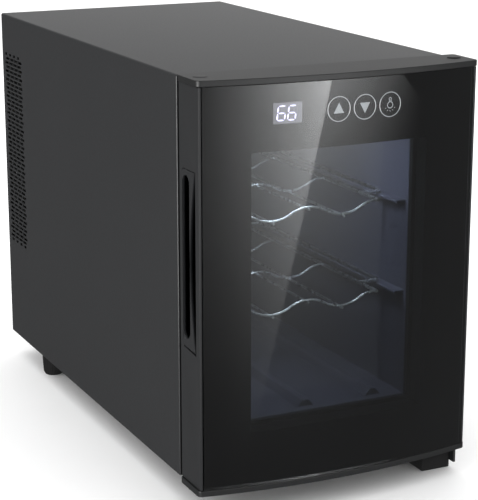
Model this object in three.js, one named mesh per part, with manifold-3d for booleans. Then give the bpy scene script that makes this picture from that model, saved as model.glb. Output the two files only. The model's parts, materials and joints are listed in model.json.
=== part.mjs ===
// Countertop thermoelectric wine cooler: steel cabinet, insulated cabin with two sliding wire
// shelves, curved glass door hinged on the right, and a thermoelectric unit behind the cabin.
// Millimetres. X is to the right, Y runs from the door to the back, Z is up from the table.

import * as THREE from 'three';
import { mergeVertices } from 'three/addons/utils/BufferGeometryUtils.js';
import Module from 'manifold-3d';

const wasm = await Module();
wasm.setup();

// ---------------------------------------------------------------- driving dimensions

const GAP = 0.3; // clearance kept between two pieces that touch
const OVERCUT = 2; // how far a cutting tool runs past the face it cuts

// Cabinet
const CABINET_W = 244.5;
const CABINET_H = 334;
const CABINET_D = 441;
const FOOT_H = 24.2; // table to cabinet underside
const SHEET = 1; // steel wrap
const WRAP_BEND = 1.8; // outside radius of the two long top bends
const BASE_T = 1.5;
const BASE_FLANGE = 12;
const COVER_T = 1.5; // rear cover
const COVER_INSET = 2; // rear cover in from the wrap's back edge
const REAR_FLANGE = 13; // wrap folded in behind the cover

// Insulation and cabin
const SIDE_WALL = 30; // cabinet side to cabin
const TOP_WALL = 36;
const FLOOR_WALL = 38;
const REAR_ROOM = 96; // cabin's back wall to the cabinet's back
const LINER_T = 2;
const FOAM_BACK = 25.3; // foam behind the liner
const FRAME_T = 4.7; // plastic frame round the cabin mouth

// Door
const DOOR_OVERHANG = 3.75; // end caps past the cabinet's sides
const DOOR_GAP = 9; // cabinet front to door back, filled by the gasket
const DOOR_T = 37; // thickness at the two ends
const DOOR_BOW = 12.4; // how far the middle of the front stands out
const DOOR_RISE = 1.8; // top cap above the cabinet
const DOOR_DROP = 1.4; // bottom cap below the cabinet
const CAP_T = 4.9;
const CAP_LIP = 1.6; // caps stand out past the rails
const CAP_PROUD = 0.6; // caps stand out past the glass
const CAP_CORNER = 3;
const RAIL_W = 20;
const RAIL_LIP = 2;
const GLASS_T = 4;
const GLASS_GROOVE = 0.8;
const INNER_FRAME_T = 24;
const INNER_GLASS_T = 4;
const INNER_GLASS_SET = 3; // inner pane in from the door's back
const INNER_GLASS_LAP = 6; // inner pane past the aperture
const WINDOW_SIDE = 39; // door's ends to window
const WINDOW_Z = 42; // door underside to window
const WINDOW_HEAD = 54.2; // window to the door's top
const GASKET_W = 9;
const GASKET_MARGIN = 4; // cabin mouth to gasket

// Hinge
const HINGE_FROM_END = 11.8; // hinge axis from the cap's right end
const HINGE_FROM_BACK = 18.4; // hinge axis from the door's back
const PIN_R = 2.5;
const BUSH_R = 4.6;
const BUSH_BORE = 2.6;
const PLUG_R = 5.8;
const PLUG_T = 1.4;
const TONGUE_W = 10;
const BRACKET_T = 2;
const NOTCH_H = 10; // room for the upper tongue above the right rail
const TONGUE_DROP = 5; // upper tongue below the top cap
const PLATE_ROOM = 0.9; // gasket to the upper bracket's plate
const PLATE_X = [18, 7]; // plate inboard and outboard of the hinge axis
const FLANGE_DROP = 14; // folded edge of the lower bracket
const STRIP_BACK = 34; // lower bracket behind the cabinet's front
const STRIP_REACH = 9; // lower bracket in front of the hinge axis
const STRIP_GAP = 0.6; // bottom cap to lower bracket
const PIN_HEAD = 2;
const PIN_REACH = 8; // pin into its bush
const LOWER_BUSH_H = 9;

// Handle recess in the left rail
const HANDLE_HEAD = 72.2; // recess below the door's top
const HANDLE_L = 148.5;
const HANDLE_BACK = 5; // from the door's back
const HANDLE_SET = 7; // recess behind the front of the door's ends
const HANDLE_DEPTH = 15;
const GRIP_SAG = 9.5; // how far the grip bar bows away from the front
const SLOT_W = 12.5;
const SLOT_HEAD = 5; // slot below the recess's top
const SLOT_FOOT = 10.5; // slot above the recess's point
const SLOT_DEPTH = 12;

// Controls behind the glass
const BOARD_HEAD = 28.7; // centre of the display and touch row below the door's top
const BOARD_SET = 1; // control board in from the front of the door's ends
const BOARD_T = 1.6;
const BOARD_H = 24;
const BOARD_X = [-70, 66];
const BOARD_POST_R = 3;
const BOARD_POST_INSET = 4; // post axis from the board's ends and edges
const DISPLAY_X = -52;
const DISPLAY_W = 24;
const DISPLAY_H = 16.5;
const TOUCH_X = [-8.4, 15, 38.5];
const TOUCH_R = 8;

// Shelves
const SHELF_SPACE = 93.4; // upper wave troughs below the cabin's ceiling
const SHELF_PITCH = 80.3;
const SHELF_FRONT = 12; // first cross wire behind the cabinet front
const SHELF_BACK = 8.7; // last cross wire to the air duct
const CROSS_WIRES = 4;
const WAVE_H = 9;
const WAVE_L = 66; // crest to crest, one bottle
const WIRE_R = 1.1;
const RUNNER_R = 1.6;
const RUNNER_SET = 7.25; // runner axis in from the cabin's side
const RUNNER_BACK = 28; // runner's ends in from the outer cross wires
const LEDGE_T = 3;
const RIDGE_H = 6; // ridges on the cabin's floor
const RIDGE_FOOT = 9; // half width at the floor
const RIDGE_CROWN = 3; // half width on top
const RIDGE_SET = 4; // ridges in from the air duct, and twice that from the front

// Thermoelectric unit
const COLD_BASE = 60;
const COLD_BLOCK = 40;
const COLD_FIN_H = 14;
const MODULE_T = 3.6;
const HOT_BASE = 120;
const HOT_BASE_T = 6;
const HOT_FIN_H = 24;
const COLD_FAN = 60;
const COLD_FAN_T = 15;
const HOT_FAN = 92;
const HOT_FAN_T = 25;
const DUCT_W = 110;
const DUCT_H = 150;
const DUCT_D = 38;
const DUCT_WALL = 2;
const COLD_BASE_T = 6;
const COLD_PLATE_GAP = 4; // back of the cold plate behind the cabin's back wall
const SINK_CLEARANCE = 3; // window round the cold plate in liner and foam
const HUB_SHARE = 0.3; // fan hub radius as a share of the tunnel radius
const FAN_RIM = 3; // thinnest wall of a fan frame
const SPINDLE_R = 1.5;
const SPOKE_T = 2.5;
const BLADES = 7;
const BLADE_T = 1.2;

// Side vents and rear grille
const VENT_ROWS = 46;
const VENT_PITCH = 4.27;
const VENT_H = 2.2;
const VENT_HEAD = 39.5; // highest slot below the cabinet's top
const VENT_FROM_BACK = 7.5;
const VENT_W = 52;
const GRILLE_PITCH = 8;
const GRILLE_SLOT = 4.5;
const LOW_SLOTS = 4;
const LOW_SLOT_Z = 60; // lowest air slot above the cabinet underside
const LOW_SLOT_HALF = 40;

// Power and lamp
const INLET_SIDE = 38.25; // inlet's centre in from the cabinet's side
const INLET_Z = 34;
const INLET_W = 31; // rim
const INLET_H = 24;
const INLET_DEPTH = 20;
const INLET_BODY = [27, 20]; // width and height behind the rim
const SOCKET = [24, 16.5, 16]; // width, height and depth
const INLET_BLADES = [[-7, 1], [0, 4], [7, 1]];
const SUPPLY_W = 144;
const SUPPLY_D = 54;
const SUPPLY_RAISE = 8; // board above the base plate
const SUPPLY_GAP = 5; // foam to board
const LAMP_W = 72;
const LAMP_D = 18;
const LAMP_H = 7.7;
const LAMP_WALL = 1.5;
const LAMP_FROM_FRONT = 18;
const LED_X = [-22, 0, 22];

// Feet
const FOOT_TOP_R = 11.2;
const FOOT_LOW_R = 10;
const FOOT_BASE_R = 8.5;
const FOOT_SIDE = 15.25; // rear feet in from the cabinet's sides
const FRONT_FOOT_SIDE = 26.25;
const FRONT_FOOT_Y = 22;
const REAR_FOOT_FROM_BACK = 84;
const BLOCK_W = 28;
const BLOCK_FRONT = 30.5; // block face in front of the cabinet
const BLOCK_BACK = 8;

// Screws
const SCREW_HEAD_R = 3;
const SCREW_HEAD_H = 1.3;
const SCREW_HOLE_R = 1.8;
const COVER_SCREW_INSET = 9; // from the cabinet side
const COVER_SCREW_END = 16; // from the cabinet's underside and top

// ---------------------------------------------------------------- derived places

const DOOR_W = CABINET_W + 2 * DOOR_OVERHANG; // over the end caps
const DOOR_H = CABINET_H + DOOR_RISE + DOOR_DROP;
const DOOR_BOTTOM_Z = FOOT_H - DOOR_DROP;
const RAIL_HALF = DOOR_W / 2 - CAP_LIP;
const FRONT_DEPTH = DOOR_GAP + DOOR_T + DOOR_BOW + CAP_PROUD;
const CABINET_FRONT_Y = (FRONT_DEPTH - CABINET_D) / 2;
const DOOR_Y = CABINET_FRONT_Y - DOOR_GAP;
const ARC_R = (RAIL_HALF ** 2 + DOOR_BOW ** 2) / (2 * DOOR_BOW);
const CABIN_HALF = CABINET_W / 2 - SIDE_WALL;
const CABIN_TOP = CABINET_H - TOP_WALL;
const CABIN_D = CABINET_D - REAR_ROOM;
const FOAM_END = CABIN_D + LINER_T + FOAM_BACK;
const UNIT_Z = (FLOOR_WALL + CABIN_TOP) / 2; // middle of the thermoelectric unit
const DUCT_Y = CABIN_D - DUCT_D - GAP;
const SHELF_Z = [CABIN_TOP - SHELF_SPACE - SHELF_PITCH, CABIN_TOP - SHELF_SPACE];
const SHELF_D = DUCT_Y - SHELF_FRONT - SHELF_BACK;
const RUNNER_X = CABIN_HALF - RUNNER_SET;
const HINGE_X = DOOR_W / 2 - HINGE_FROM_END;
const HINGE_Y = -HINGE_FROM_BACK;
const AXIS_Y = HINGE_Y - DOOR_GAP; // hinge axis in the cabinet's frame
const CORNER_SWING = CAP_CORNER
  + Math.hypot(HINGE_FROM_END - CAP_CORNER, HINGE_FROM_BACK - CAP_CORNER); // door corner to axis
const INSIDE_HALF = CABINET_W / 2 - SHEET - GAP;
const INSIDE_TOP = CABINET_H - SHEET - GAP;
const COVER_Y = CABINET_D - COVER_INSET - COVER_T; // inner face of the rear cover
const FLANGE_Y = COVER_Y - GAP - SHEET; // inner face of the wrap's rear flanges
const BLOCK_RIGHT = CABINET_W / 2 - 0.5;
const INLET_X = CABINET_W / 2 - INLET_SIDE;
const WINDOW_HALF = DOOR_W / 2 - WINDOW_SIDE;
const WINDOW_TOP = DOOR_H - WINDOW_HEAD;
const HANDLE_TOP = DOOR_H - HANDLE_HEAD;
const HANDLE_BOTTOM = HANDLE_TOP - HANDLE_L;
const HANDLE_FRONT = DOOR_T - HANDLE_SET;
const SLOT_BOTTOM = HANDLE_BOTTOM + SLOT_FOOT;
const SLOT_TOP = HANDLE_TOP - SLOT_HEAD;
const BOARD_Z = DOOR_H - BOARD_HEAD;
const BOARD_Y = BOARD_SET - DOOR_T; // front of the control board

// ---------------------------------------------------------------- solids

function solid(geometry) {
  const bare = geometry.clone();
  bare.deleteAttribute('normal');
  bare.deleteAttribute('uv');
  const merged = mergeVertices(bare, 1e-4);
  return new wasm.Manifold(new wasm.Mesh({
    numProp: 3,
    vertProperties: new Float32Array(merged.attributes.position.array),
    triVerts: new Uint32Array(merged.index.array),
  }));
}

function surface(manifold) {
  const mesh = manifold.getMesh();
  const geometry = new THREE.BufferGeometry();
  geometry.setAttribute('position', new THREE.BufferAttribute(mesh.vertProperties, 3));
  geometry.setIndex(new THREE.BufferAttribute(mesh.triVerts, 1));
  return geometry;
}

const join = (first, ...others) =>
  surface(others.reduce((whole, next) => whole.add(solid(next)), solid(first)));

const cut = (body, ...tools) =>
  surface(tools.reduce((whole, tool) => whole.subtract(solid(tool)), solid(body)));

// Box from its low and high corners.
function block([x0, x1], [y0, y1], [z0, z1]) {
  return new THREE.BoxGeometry(x1 - x0, y1 - y0, z1 - z0)
    .translate((x0 + x1) / 2, (y0 + y1) / 2, (z0 + z1) / 2);
}

const outline = (points) => new THREE.Shape(points.map(([u, v]) => new THREE.Vector2(u, v)));

function rectangle(halfU, v0, v1) {
  return outline([[-halfU, v0], [halfU, v0], [halfU, v1], [-halfU, v1]]);
}

// Prisms of an outline: along Z from (x, y), along Y from (x, z), along X from (y, z).
function prismZ(shape, z0, z1, curveSegments = 6) {
  return new THREE.ExtrudeGeometry(shape, { depth: z1 - z0, bevelEnabled: false, curveSegments })
    .translate(0, 0, z0);
}

function prismY(shape, y0, y1, curveSegments = 6) {
  return new THREE.ExtrudeGeometry(shape, { depth: y1 - y0, bevelEnabled: false, curveSegments })
    .rotateX(Math.PI / 2).translate(0, y1, 0);
}

function prismX(shape, x0, x1, curveSegments = 6) {
  const turn = new THREE.Matrix4().makeBasis(
    new THREE.Vector3(0, 1, 0), new THREE.Vector3(0, 0, 1), new THREE.Vector3(1, 0, 0));
  return new THREE.ExtrudeGeometry(shape, { depth: x1 - x0, bevelEnabled: false, curveSegments })
    .applyMatrix4(turn).translate(x0, 0, 0);
}

function rodZ(radius, z0, z1, sides = 24) {
  return new THREE.CylinderGeometry(radius, radius, z1 - z0, sides)
    .rotateX(Math.PI / 2).translate(0, 0, (z0 + z1) / 2);
}

function rodY(radius, y0, y1, sides = 24) {
  return new THREE.CylinderGeometry(radius, radius, y1 - y0, sides)
    .translate(0, (y0 + y1) / 2, 0);
}

function rodX(radius, x0, x1, sides = 24) {
  return new THREE.CylinderGeometry(radius, radius, x1 - x0, sides)
    .rotateZ(Math.PI / 2).translate((x0 + x1) / 2, 0, 0);
}

// Rectangular ring in X and Z, extruded along Y.
function ringY(halfOut, zOut, halfIn, zIn, y0, y1) {
  const shape = rectangle(halfOut, ...zOut);
  shape.holes.push(rectangle(halfIn, ...zIn));
  return prismY(shape, y0, y1);
}

// ---------------------------------------------------------------- materials

const finish = (color, roughness, metalness = 0, extra = {}) =>
  new THREE.MeshStandardMaterial({ color, roughness, metalness, ...extra });

const powderCoat = finish(0x2b2c2d, 0.55, 0.2);
const capPlastic = finish(0x2a2b2c, 0.45);
const railPlastic = finish(0x262728, 0.45);
const handlePlastic = finish(0x1c1d1e, 0.3);
const tintedGlass = finish(0x101214, 0.05, 0, { transparent: true, opacity: 0.45 });
const clearGlass = finish(0xdfe8ea, 0.05, 0, { transparent: true, opacity: 0.25 });
const gasketRubber = finish(0x111111, 0.85);
const footRubber = finish(0x121212, 0.8);
const linerPlastic = finish(0x3c3e42, 0.5);
const foam = finish(0xe6dcae, 0.95);
const zinc = finish(0xb9bcbf, 0.35, 0.9);
const aluminium = finish(0xc4c7c9, 0.4, 0.9);
const ceramic = finish(0xf1f1ec, 0.6);
const fanPlastic = finish(0x1a1a1b, 0.5);
const boardLaminate = finish(0x1f5a36, 0.6);
const socketPlastic = finish(0x161617, 0.4);
const chrome = finish(0xd9dcde, 0.12, 1);
const diffuser = finish(0xeef3f7, 0.4, 0, { transparent: true, opacity: 0.6 });
const displayFace = finish(0x2c2a3a, 0.3);
const touchFoam = finish(0x4a4a4c, 0.9);
const acetal = finish(0xe8e6de, 0.5);

const model = new THREE.Group();
const cabinet = new THREE.Group();
cabinet.position.set(0, CABINET_FRONT_Y, FOOT_H);
const door = new THREE.Group();
door.position.set(0, DOOR_Y, DOOR_BOTTOM_Z);
model.add(cabinet, door);

function place(group, name, geometry, material, x = 0, y = 0, z = 0) {
  const mesh = new THREE.Mesh(geometry, material);
  mesh.name = name;
  mesh.position.set(x, y, z);
  group.add(mesh);
  return mesh;
}

// ---------------------------------------------------------------- cabinet shell

const COVER_SCREWS = [-1, 1].flatMap((side) => [COVER_SCREW_END, CABINET_H - COVER_SCREW_END]
  .map((z) => [side * (CABINET_W / 2 - COVER_SCREW_INSET), z]));

const coverScrewHoles = () => COVER_SCREWS.map(([x, z]) =>
  rodY(SCREW_HOLE_R, FLANGE_Y - OVERCUT, CABINET_D, 12).translate(x, 0, z));

// Folded steel wrap: two sides and the top, with rows of vent slots by the rear compartment.
function wrapOutline(half, top, bend) {
  const shape = new THREE.Shape();
  shape.moveTo(half, 0);
  shape.lineTo(half, top - bend);
  shape.absarc(half - bend, top - bend, bend, 0, Math.PI / 2, false);
  shape.absarc(bend - half, top - bend, bend, Math.PI / 2, Math.PI, false);
  shape.lineTo(-half, 0);
  return shape;
}

function outerWrap() {
  const half = CABINET_W / 2;
  const outside = prismY(wrapOutline(half, CABINET_H, WRAP_BEND), 0, CABINET_D, 4);
  const inside = prismY(wrapOutline(half - SHEET, CABINET_H - SHEET, WRAP_BEND - SHEET),
    -OVERCUT, CABINET_D + OVERCUT, 4);
  const mouth = block([SHEET - half, half - SHEET], [-OVERCUT, CABINET_D + OVERCUT],
    [-OVERCUT, OVERCUT]);
  const back = CABINET_D - VENT_FROM_BACK;
  const slots = Array.from({ length: VENT_ROWS }, (_, row) => {
    const z = CABINET_H - VENT_HEAD - row * VENT_PITCH;
    return block([-half - OVERCUT, half + OVERCUT], [back - VENT_W, back],
      [z - VENT_H / 2, z + VENT_H / 2]);
  });
  const flanges = [-1, 1].map((side) => {
    const edge = side * (half - SHEET / 2);
    const free = side * (half - REAR_FLANGE);
    return block([Math.min(edge, free), Math.max(edge, free)], [FLANGE_Y, FLANGE_Y + SHEET],
      [0, CABINET_H - SHEET - WRAP_BEND]);
  });
  return cut(join(cut(outside, inside, mouth, ...slots), ...flanges), ...coverScrewHoles());
}

const BASE_SCREWS = [HINGE_X - 12, HINGE_X + 2].map((x) => [x, 22]);

const baseScrewHoles = () => BASE_SCREWS.map(([x, y]) =>
  rodZ(SCREW_HOLE_R, -4 * OVERCUT, 10, 12).translate(x, y, 0));

function basePlate() {
  const half = INSIDE_HALF;
  const tray = outline([
    [-half, 0], [half, 0], [half, BASE_FLANGE], [half - BASE_T, BASE_FLANGE],
    [half - BASE_T, BASE_T], [BASE_T - half, BASE_T], [BASE_T - half, BASE_FLANGE],
    [-half, BASE_FLANGE],
  ]);
  return cut(prismY(tray, FRAME_T + GAP, FLANGE_Y - GAP), ...baseScrewHoles());
}

// Rear cover: a round fan grille cut as horizontal slots, low air slots and the inlet window.
function rearCover() {
  const y0 = COVER_Y;
  const plate = block([-INSIDE_HALF, INSIDE_HALF], [y0, y0 + COVER_T], [GAP, INSIDE_TOP]);
  const slot = (half, z) => block([-half, half], [y0 - OVERCUT, CABINET_D + OVERCUT],
    [z - GRILLE_SLOT / 2, z + GRILLE_SLOT / 2]);
  const reach = HOT_FAN / 2 - FAN_RIM;
  const rows = Math.floor(reach / GRILLE_PITCH);
  const tools = [];
  for (let row = -rows; row <= rows; row += 1) {
    const rise = row * GRILLE_PITCH;
    tools.push(slot(Math.sqrt(reach ** 2 - rise ** 2) - 2, UNIT_Z + rise));
  }
  for (let row = 0; row < LOW_SLOTS; row += 1) {
    tools.push(slot(LOW_SLOT_HALF, LOW_SLOT_Z + row * GRILLE_PITCH));
  }
  const window = block(
    [INLET_X - INLET_W / 2 - GAP, INLET_X + INLET_W / 2 + GAP], [y0 - OVERCUT, CABINET_D + OVERCUT],
    [INLET_Z - INLET_H / 2 - GAP, INLET_Z + INLET_H / 2 + GAP]);
  return cut(plate, window, ...tools, ...coverScrewHoles());
}

const TONGUE_Z = DOOR_H - DOOR_DROP - CAP_T - TONGUE_DROP; // top of the upper tongue
const PLATE_LOW = CABIN_TOP + GASKET_MARGIN + GASKET_W + PLATE_ROOM;
const PLATE_SCREWS = [HINGE_X - 13, HINGE_X].map((x) => [x, (PLATE_LOW + TONGUE_Z) / 2 - 1]);

const plateScrewHoles = () => PLATE_SCREWS.map(([x, z]) =>
  rodY(SCREW_HOLE_R, -4 * OVERCUT, FRAME_T + OVERCUT, 12).translate(x, 0, z));

// Plastic frame that closes the front between the steel wrap and the cabin mouth.
function frontFrame() {
  const ring = ringY(INSIDE_HALF, [0, INSIDE_TOP], CABIN_HALF, [FLOOR_WALL, CABIN_TOP], 0, FRAME_T);
  return cut(ring, ...plateScrewHoles());
}

// Cabin liner with two shelf ledges a side and three ridges that cradle the lowest bottles.
const SINK_WINDOW = COLD_BASE / 2 + SINK_CLEARANCE;

function innerLiner() {
  const y0 = FRAME_T + GAP;
  const shell = cut(
    block([-CABIN_HALF - LINER_T, CABIN_HALF + LINER_T], [y0, CABIN_D + LINER_T],
      [FLOOR_WALL - LINER_T, CABIN_TOP + LINER_T]),
    block([-CABIN_HALF, CABIN_HALF], [y0 - OVERCUT, CABIN_D], [FLOOR_WALL, CABIN_TOP]),
    block([-SINK_WINDOW, SINK_WINDOW], [CABIN_D - OVERCUT, CABIN_D + 2 * OVERCUT],
      [UNIT_Z - SINK_WINDOW, UNIT_Z + SINK_WINDOW]));
  const ribs = [];
  for (const trough of SHELF_Z) {
    const top = trough + WAVE_H - RUNNER_R - GAP;
    for (const side of [-1, 1]) {
      const inner = side * (RUNNER_X - RUNNER_R - 2 * GAP);
      const outer = side * (CABIN_HALF + LINER_T / 2);
      ribs.push(block([Math.min(inner, outer), Math.max(inner, outer)], [y0 + 4, CABIN_D + 1],
        [top - LEDGE_T, top]));
    }
  }
  const crown = FLOOR_WALL + RIDGE_H;
  const foot = FLOOR_WALL - LINER_T / 2;
  for (const x of [-WAVE_L, 0, WAVE_L]) {
    ribs.push(prismY(outline([
      [x - RIDGE_FOOT, foot], [x + RIDGE_FOOT, foot], [x + RIDGE_CROWN, crown],
      [x - RIDGE_CROWN, crown],
    ]), y0 + 2 * RIDGE_SET, DUCT_Y - RIDGE_SET));
  }
  return join(shell, ...ribs);
}

function foamInsulation() {
  const y0 = FRAME_T + GAP;
  const half = INSIDE_HALF - BASE_T - GAP;
  const shell = LINER_T + GAP;
  return cut(
    block([-half, half], [y0, FOAM_END], [BASE_T + GAP, INSIDE_TOP]),
    block([-CABIN_HALF - shell, CABIN_HALF + shell], [y0 - OVERCUT, CABIN_D + shell],
      [FLOOR_WALL - shell, CABIN_TOP + shell]),
    block([-SINK_WINDOW, SINK_WINDOW], [CABIN_D, FOAM_END + OVERCUT],
      [UNIT_Z - SINK_WINDOW, UNIT_Z + SINK_WINDOW]),
    ...baseScrewHoles());
}

place(cabinet, 'outer_wrap', outerWrap(), powderCoat);
place(cabinet, 'base_plate', basePlate(), powderCoat);
place(cabinet, 'rear_cover', rearCover(), powderCoat);
place(cabinet, 'front_frame', frontFrame(), railPlastic);
place(cabinet, 'inner_liner', innerLiner(), linerPlastic);
place(cabinet, 'foam_insulation', foamInsulation(), foam);

// ---------------------------------------------------------------- thermoelectric unit

// Plate with straight fins along Z: a comb outline in X and Y. dir is the way the fins point.
function finnedPlate(width, plateT, finH, finT, fins, dir) {
  const points = [[-width / 2, 0], [-width / 2, dir * (plateT + finH)]];
  const pitch = (width - finT) / (fins - 1);
  for (let i = 0; i < fins; i += 1) {
    const left = -width / 2 + i * pitch;
    if (i > 0) points.push([left, dir * plateT], [left, dir * (plateT + finH)]);
    points.push([left + finT, dir * (plateT + finH)]);
    if (i < fins - 1) points.push([left + finT, dir * plateT]);
  }
  points.push([width / 2, 0]);
  return prismZ(outline(points), -width / 2, width / 2);
}

const MODULE_Y = FOAM_END - MODULE_T;
const COLD_PLATE_Y = CABIN_D + COLD_PLATE_GAP; // back of the cold plate
const HOT_Y = FOAM_END + GAP;

function coldSink() {
  const plate = finnedPlate(COLD_BASE, COLD_BASE_T, COLD_FIN_H, 1.5, 9, -1)
    .translate(0, COLD_PLATE_Y, 0);
  const half = COLD_BLOCK / 2;
  return join(plate, block([-half, half], [COLD_PLATE_Y - 1, MODULE_Y - GAP], [-half, half]));
}

// Axial fan housing: square frame, round tunnel, four spokes and a hub with a spindle hole.
function fanFrame(size, depth) {
  const tunnel = size / 2 - FAN_RIM;
  const hub = tunnel * HUB_SHARE;
  const shell = cut(block([-size / 2, size / 2], [0, depth], [-size / 2, size / 2]),
    rodY(tunnel, -OVERCUT, depth + OVERCUT, 32));
  const spokes = [
    block([-tunnel - 1, tunnel + 1], [0, SPOKE_T], [-SPOKE_T, SPOKE_T]),
    block([-SPOKE_T, SPOKE_T], [0, SPOKE_T], [-tunnel - 1, tunnel + 1]),
    rodY(hub, 0, SPOKE_T, 20),
  ];
  return cut(join(shell, ...spokes), rodY(SPINDLE_R + GAP, -OVERCUT, depth + OVERCUT, 12));
}

// Rotor: hub, spindle and flat blades set at 45 degrees.
function fanRotor(size, depth) {
  const tunnel = size / 2 - FAN_RIM;
  const hub = tunnel * HUB_SHARE;
  const front = SPOKE_T + 0.8;
  const back = depth - 1.2;
  const middle = (front + back) / 2;
  const tip = tunnel - 5 * GAP;
  const root = hub / 2;
  const blades = Array.from({ length: BLADES }, (_, i) =>
    new THREE.BoxGeometry(tip - root, BLADE_T, (back - front) * 0.95)
      .translate((tip + root) / 2, 0, 0)
      .rotateX(Math.PI / 4)
      .rotateY((2 * Math.PI * i) / BLADES)
      .translate(0, middle, 0));
  return join(rodY(hub, front, back, 20), rodY(SPINDLE_R, 0.3, middle, 12), ...blades);
}

// Cover over the cold fins: slots over the fan and outlets above and below.
function airDuct() {
  const half = DUCT_W / 2;
  const tall = DUCT_H / 2;
  const shell = cut(block([-half, half], [0, DUCT_D], [-tall, tall]),
    block([DUCT_WALL - half, half - DUCT_WALL], [DUCT_WALL, DUCT_D + OVERCUT],
      [DUCT_WALL - tall, tall - DUCT_WALL]));
  const reach = COLD_FAN / 2 - FAN_RIM;
  const tools = [];
  for (let row = -4; row <= 4; row += 1) {
    const z = row * 6;
    const x = Math.sqrt(reach ** 2 - z ** 2) - 1;
    tools.push(block([-x, x], [-OVERCUT, DUCT_WALL + OVERCUT], [z - 1.5, z + 1.5]));
  }
  for (const x of [-36, -18, 0, 18, 36]) {
    tools.push(block([x - 6, x + 6], [DUCT_D * 0.35, DUCT_D * 0.75],
      [-tall - OVERCUT, tall + OVERCUT]));
  }
  return cut(shell, ...tools);
}

const COLD_FIN_FRONT = COLD_PLATE_Y - COLD_BASE_T - COLD_FIN_H;
const HOT_FAN_Y = HOT_Y + HOT_BASE_T + HOT_FIN_H + GAP;

place(cabinet, 'cold_sink', coldSink(), aluminium, 0, 0, UNIT_Z);
place(cabinet, 'peltier_module', new THREE.BoxGeometry(COLD_BLOCK, MODULE_T, COLD_BLOCK), ceramic,
  0, MODULE_Y + MODULE_T / 2, UNIT_Z);
place(cabinet, 'hot_sink', finnedPlate(HOT_BASE, HOT_BASE_T, HOT_FIN_H, 2, 15, 1), aluminium,
  0, HOT_Y, UNIT_Z);
place(cabinet, 'cold_fan_frame', fanFrame(COLD_FAN, COLD_FAN_T), fanPlastic,
  0, COLD_FIN_FRONT - GAP - COLD_FAN_T, UNIT_Z);
place(cabinet, 'cold_fan_rotor', fanRotor(COLD_FAN, COLD_FAN_T), fanPlastic,
  0, COLD_FIN_FRONT - GAP - COLD_FAN_T, UNIT_Z);
place(cabinet, 'hot_fan_frame', fanFrame(HOT_FAN, HOT_FAN_T), fanPlastic, 0, HOT_FAN_Y, UNIT_Z);
place(cabinet, 'hot_fan_rotor', fanRotor(HOT_FAN, HOT_FAN_T), fanPlastic, 0, HOT_FAN_Y, UNIT_Z);
place(cabinet, 'air_duct', airDuct(), linerPlastic, 0, DUCT_Y, UNIT_Z);

// ---------------------------------------------------------------- power, lamp

const SUPPLY_Y = FOAM_END + SUPPLY_GAP;

// Board on four posts, with two large capacitors, a heat sink, a transformer and a relay.
function powerSupplyBoard() {
  const top = 1.6;
  const sunk = top - 0.5; // parts start inside the board so that they join it
  const post = 5; // post axis from the board's edges
  const parts = [
    block([-48, -18], [8, 40], [sunk, 27]),
    rodZ(8, sunk, 26, 16).translate(-2, 16, 0),
    rodZ(6, sunk, 21, 16).translate(14, 38, 0),
    block([26, 29], [6, 44], [sunk, 30]),
    block([38, 58], [14, 34], [sunk, 16]),
  ];
  const posts = [-1, 1].flatMap((side) => [post, SUPPLY_D - post].map((y) =>
    rodZ(3, -SUPPLY_RAISE, 0.5, 10).translate(side * (SUPPLY_W / 2 - post - 1), y, 0)));
  return join(block([-SUPPLY_W / 2, SUPPLY_W / 2], [0, SUPPLY_D], [0, top]), ...parts, ...posts);
}

// Three-pin appliance inlet, its rim flush with the rear cover.
function powerInlet() {
  const [bodyW, bodyH] = INLET_BODY;
  const [socketW, socketH, socketD] = SOCKET;
  const floor = INLET_DEPTH - socketD;
  const body = join(
    block([-bodyW / 2, bodyW / 2], [0, INLET_DEPTH], [-bodyH / 2, bodyH / 2]),
    block([-INLET_W / 2, INLET_W / 2], [INLET_DEPTH - COVER_T, INLET_DEPTH],
      [-INLET_H / 2, INLET_H / 2]));
  const socket = block([-socketW / 2, socketW / 2], [floor, INLET_DEPTH + OVERCUT],
    [-socketH / 2, socketH / 2]);
  const blades = INLET_BLADES.map(([x, z]) =>
    block([x - 1, x + 1], [floor - 1, INLET_DEPTH - 3], [z - 2, z + 2]));
  return join(cut(body, socket), ...blades);
}

const LAMP_Y = LAMP_FROM_FRONT + LAMP_D / 2;

function lampBoard() {
  const half = LAMP_W / 2 - 4;
  const leds = LED_X.map((x) => block([x - 2.5, x + 2.5], [-2.5, 2.5], [-1, 0.5]));
  return join(block([-half, half], [-5, 5], [0, BOARD_T]), ...leds);
}

// Open-topped tray of frosted plastic under the cabin's ceiling.
function lampCover() {
  const x = LAMP_W / 2;
  const y = LAMP_D / 2;
  return cut(block([-x, x], [-y, y], [0, LAMP_H]),
    block([LAMP_WALL - x, x - LAMP_WALL], [LAMP_WALL - y, y - LAMP_WALL],
      [LAMP_WALL, LAMP_H + OVERCUT]));
}

place(cabinet, 'power_supply_board', powerSupplyBoard(), boardLaminate,
  0, SUPPLY_Y, BASE_T + GAP + SUPPLY_RAISE);
place(cabinet, 'power_inlet', powerInlet(), socketPlastic,
  INLET_X, COVER_Y + COVER_T - INLET_DEPTH, INLET_Z);
place(cabinet, 'lamp_board', lampBoard(), boardLaminate, 0, LAMP_Y, CABIN_TOP - GAP - BOARD_T);
place(cabinet, 'lamp_cover', lampCover(), diffuser, 0, LAMP_Y, CABIN_TOP - GAP - LAMP_H);

// ---------------------------------------------------------------- hinges and feet

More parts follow.
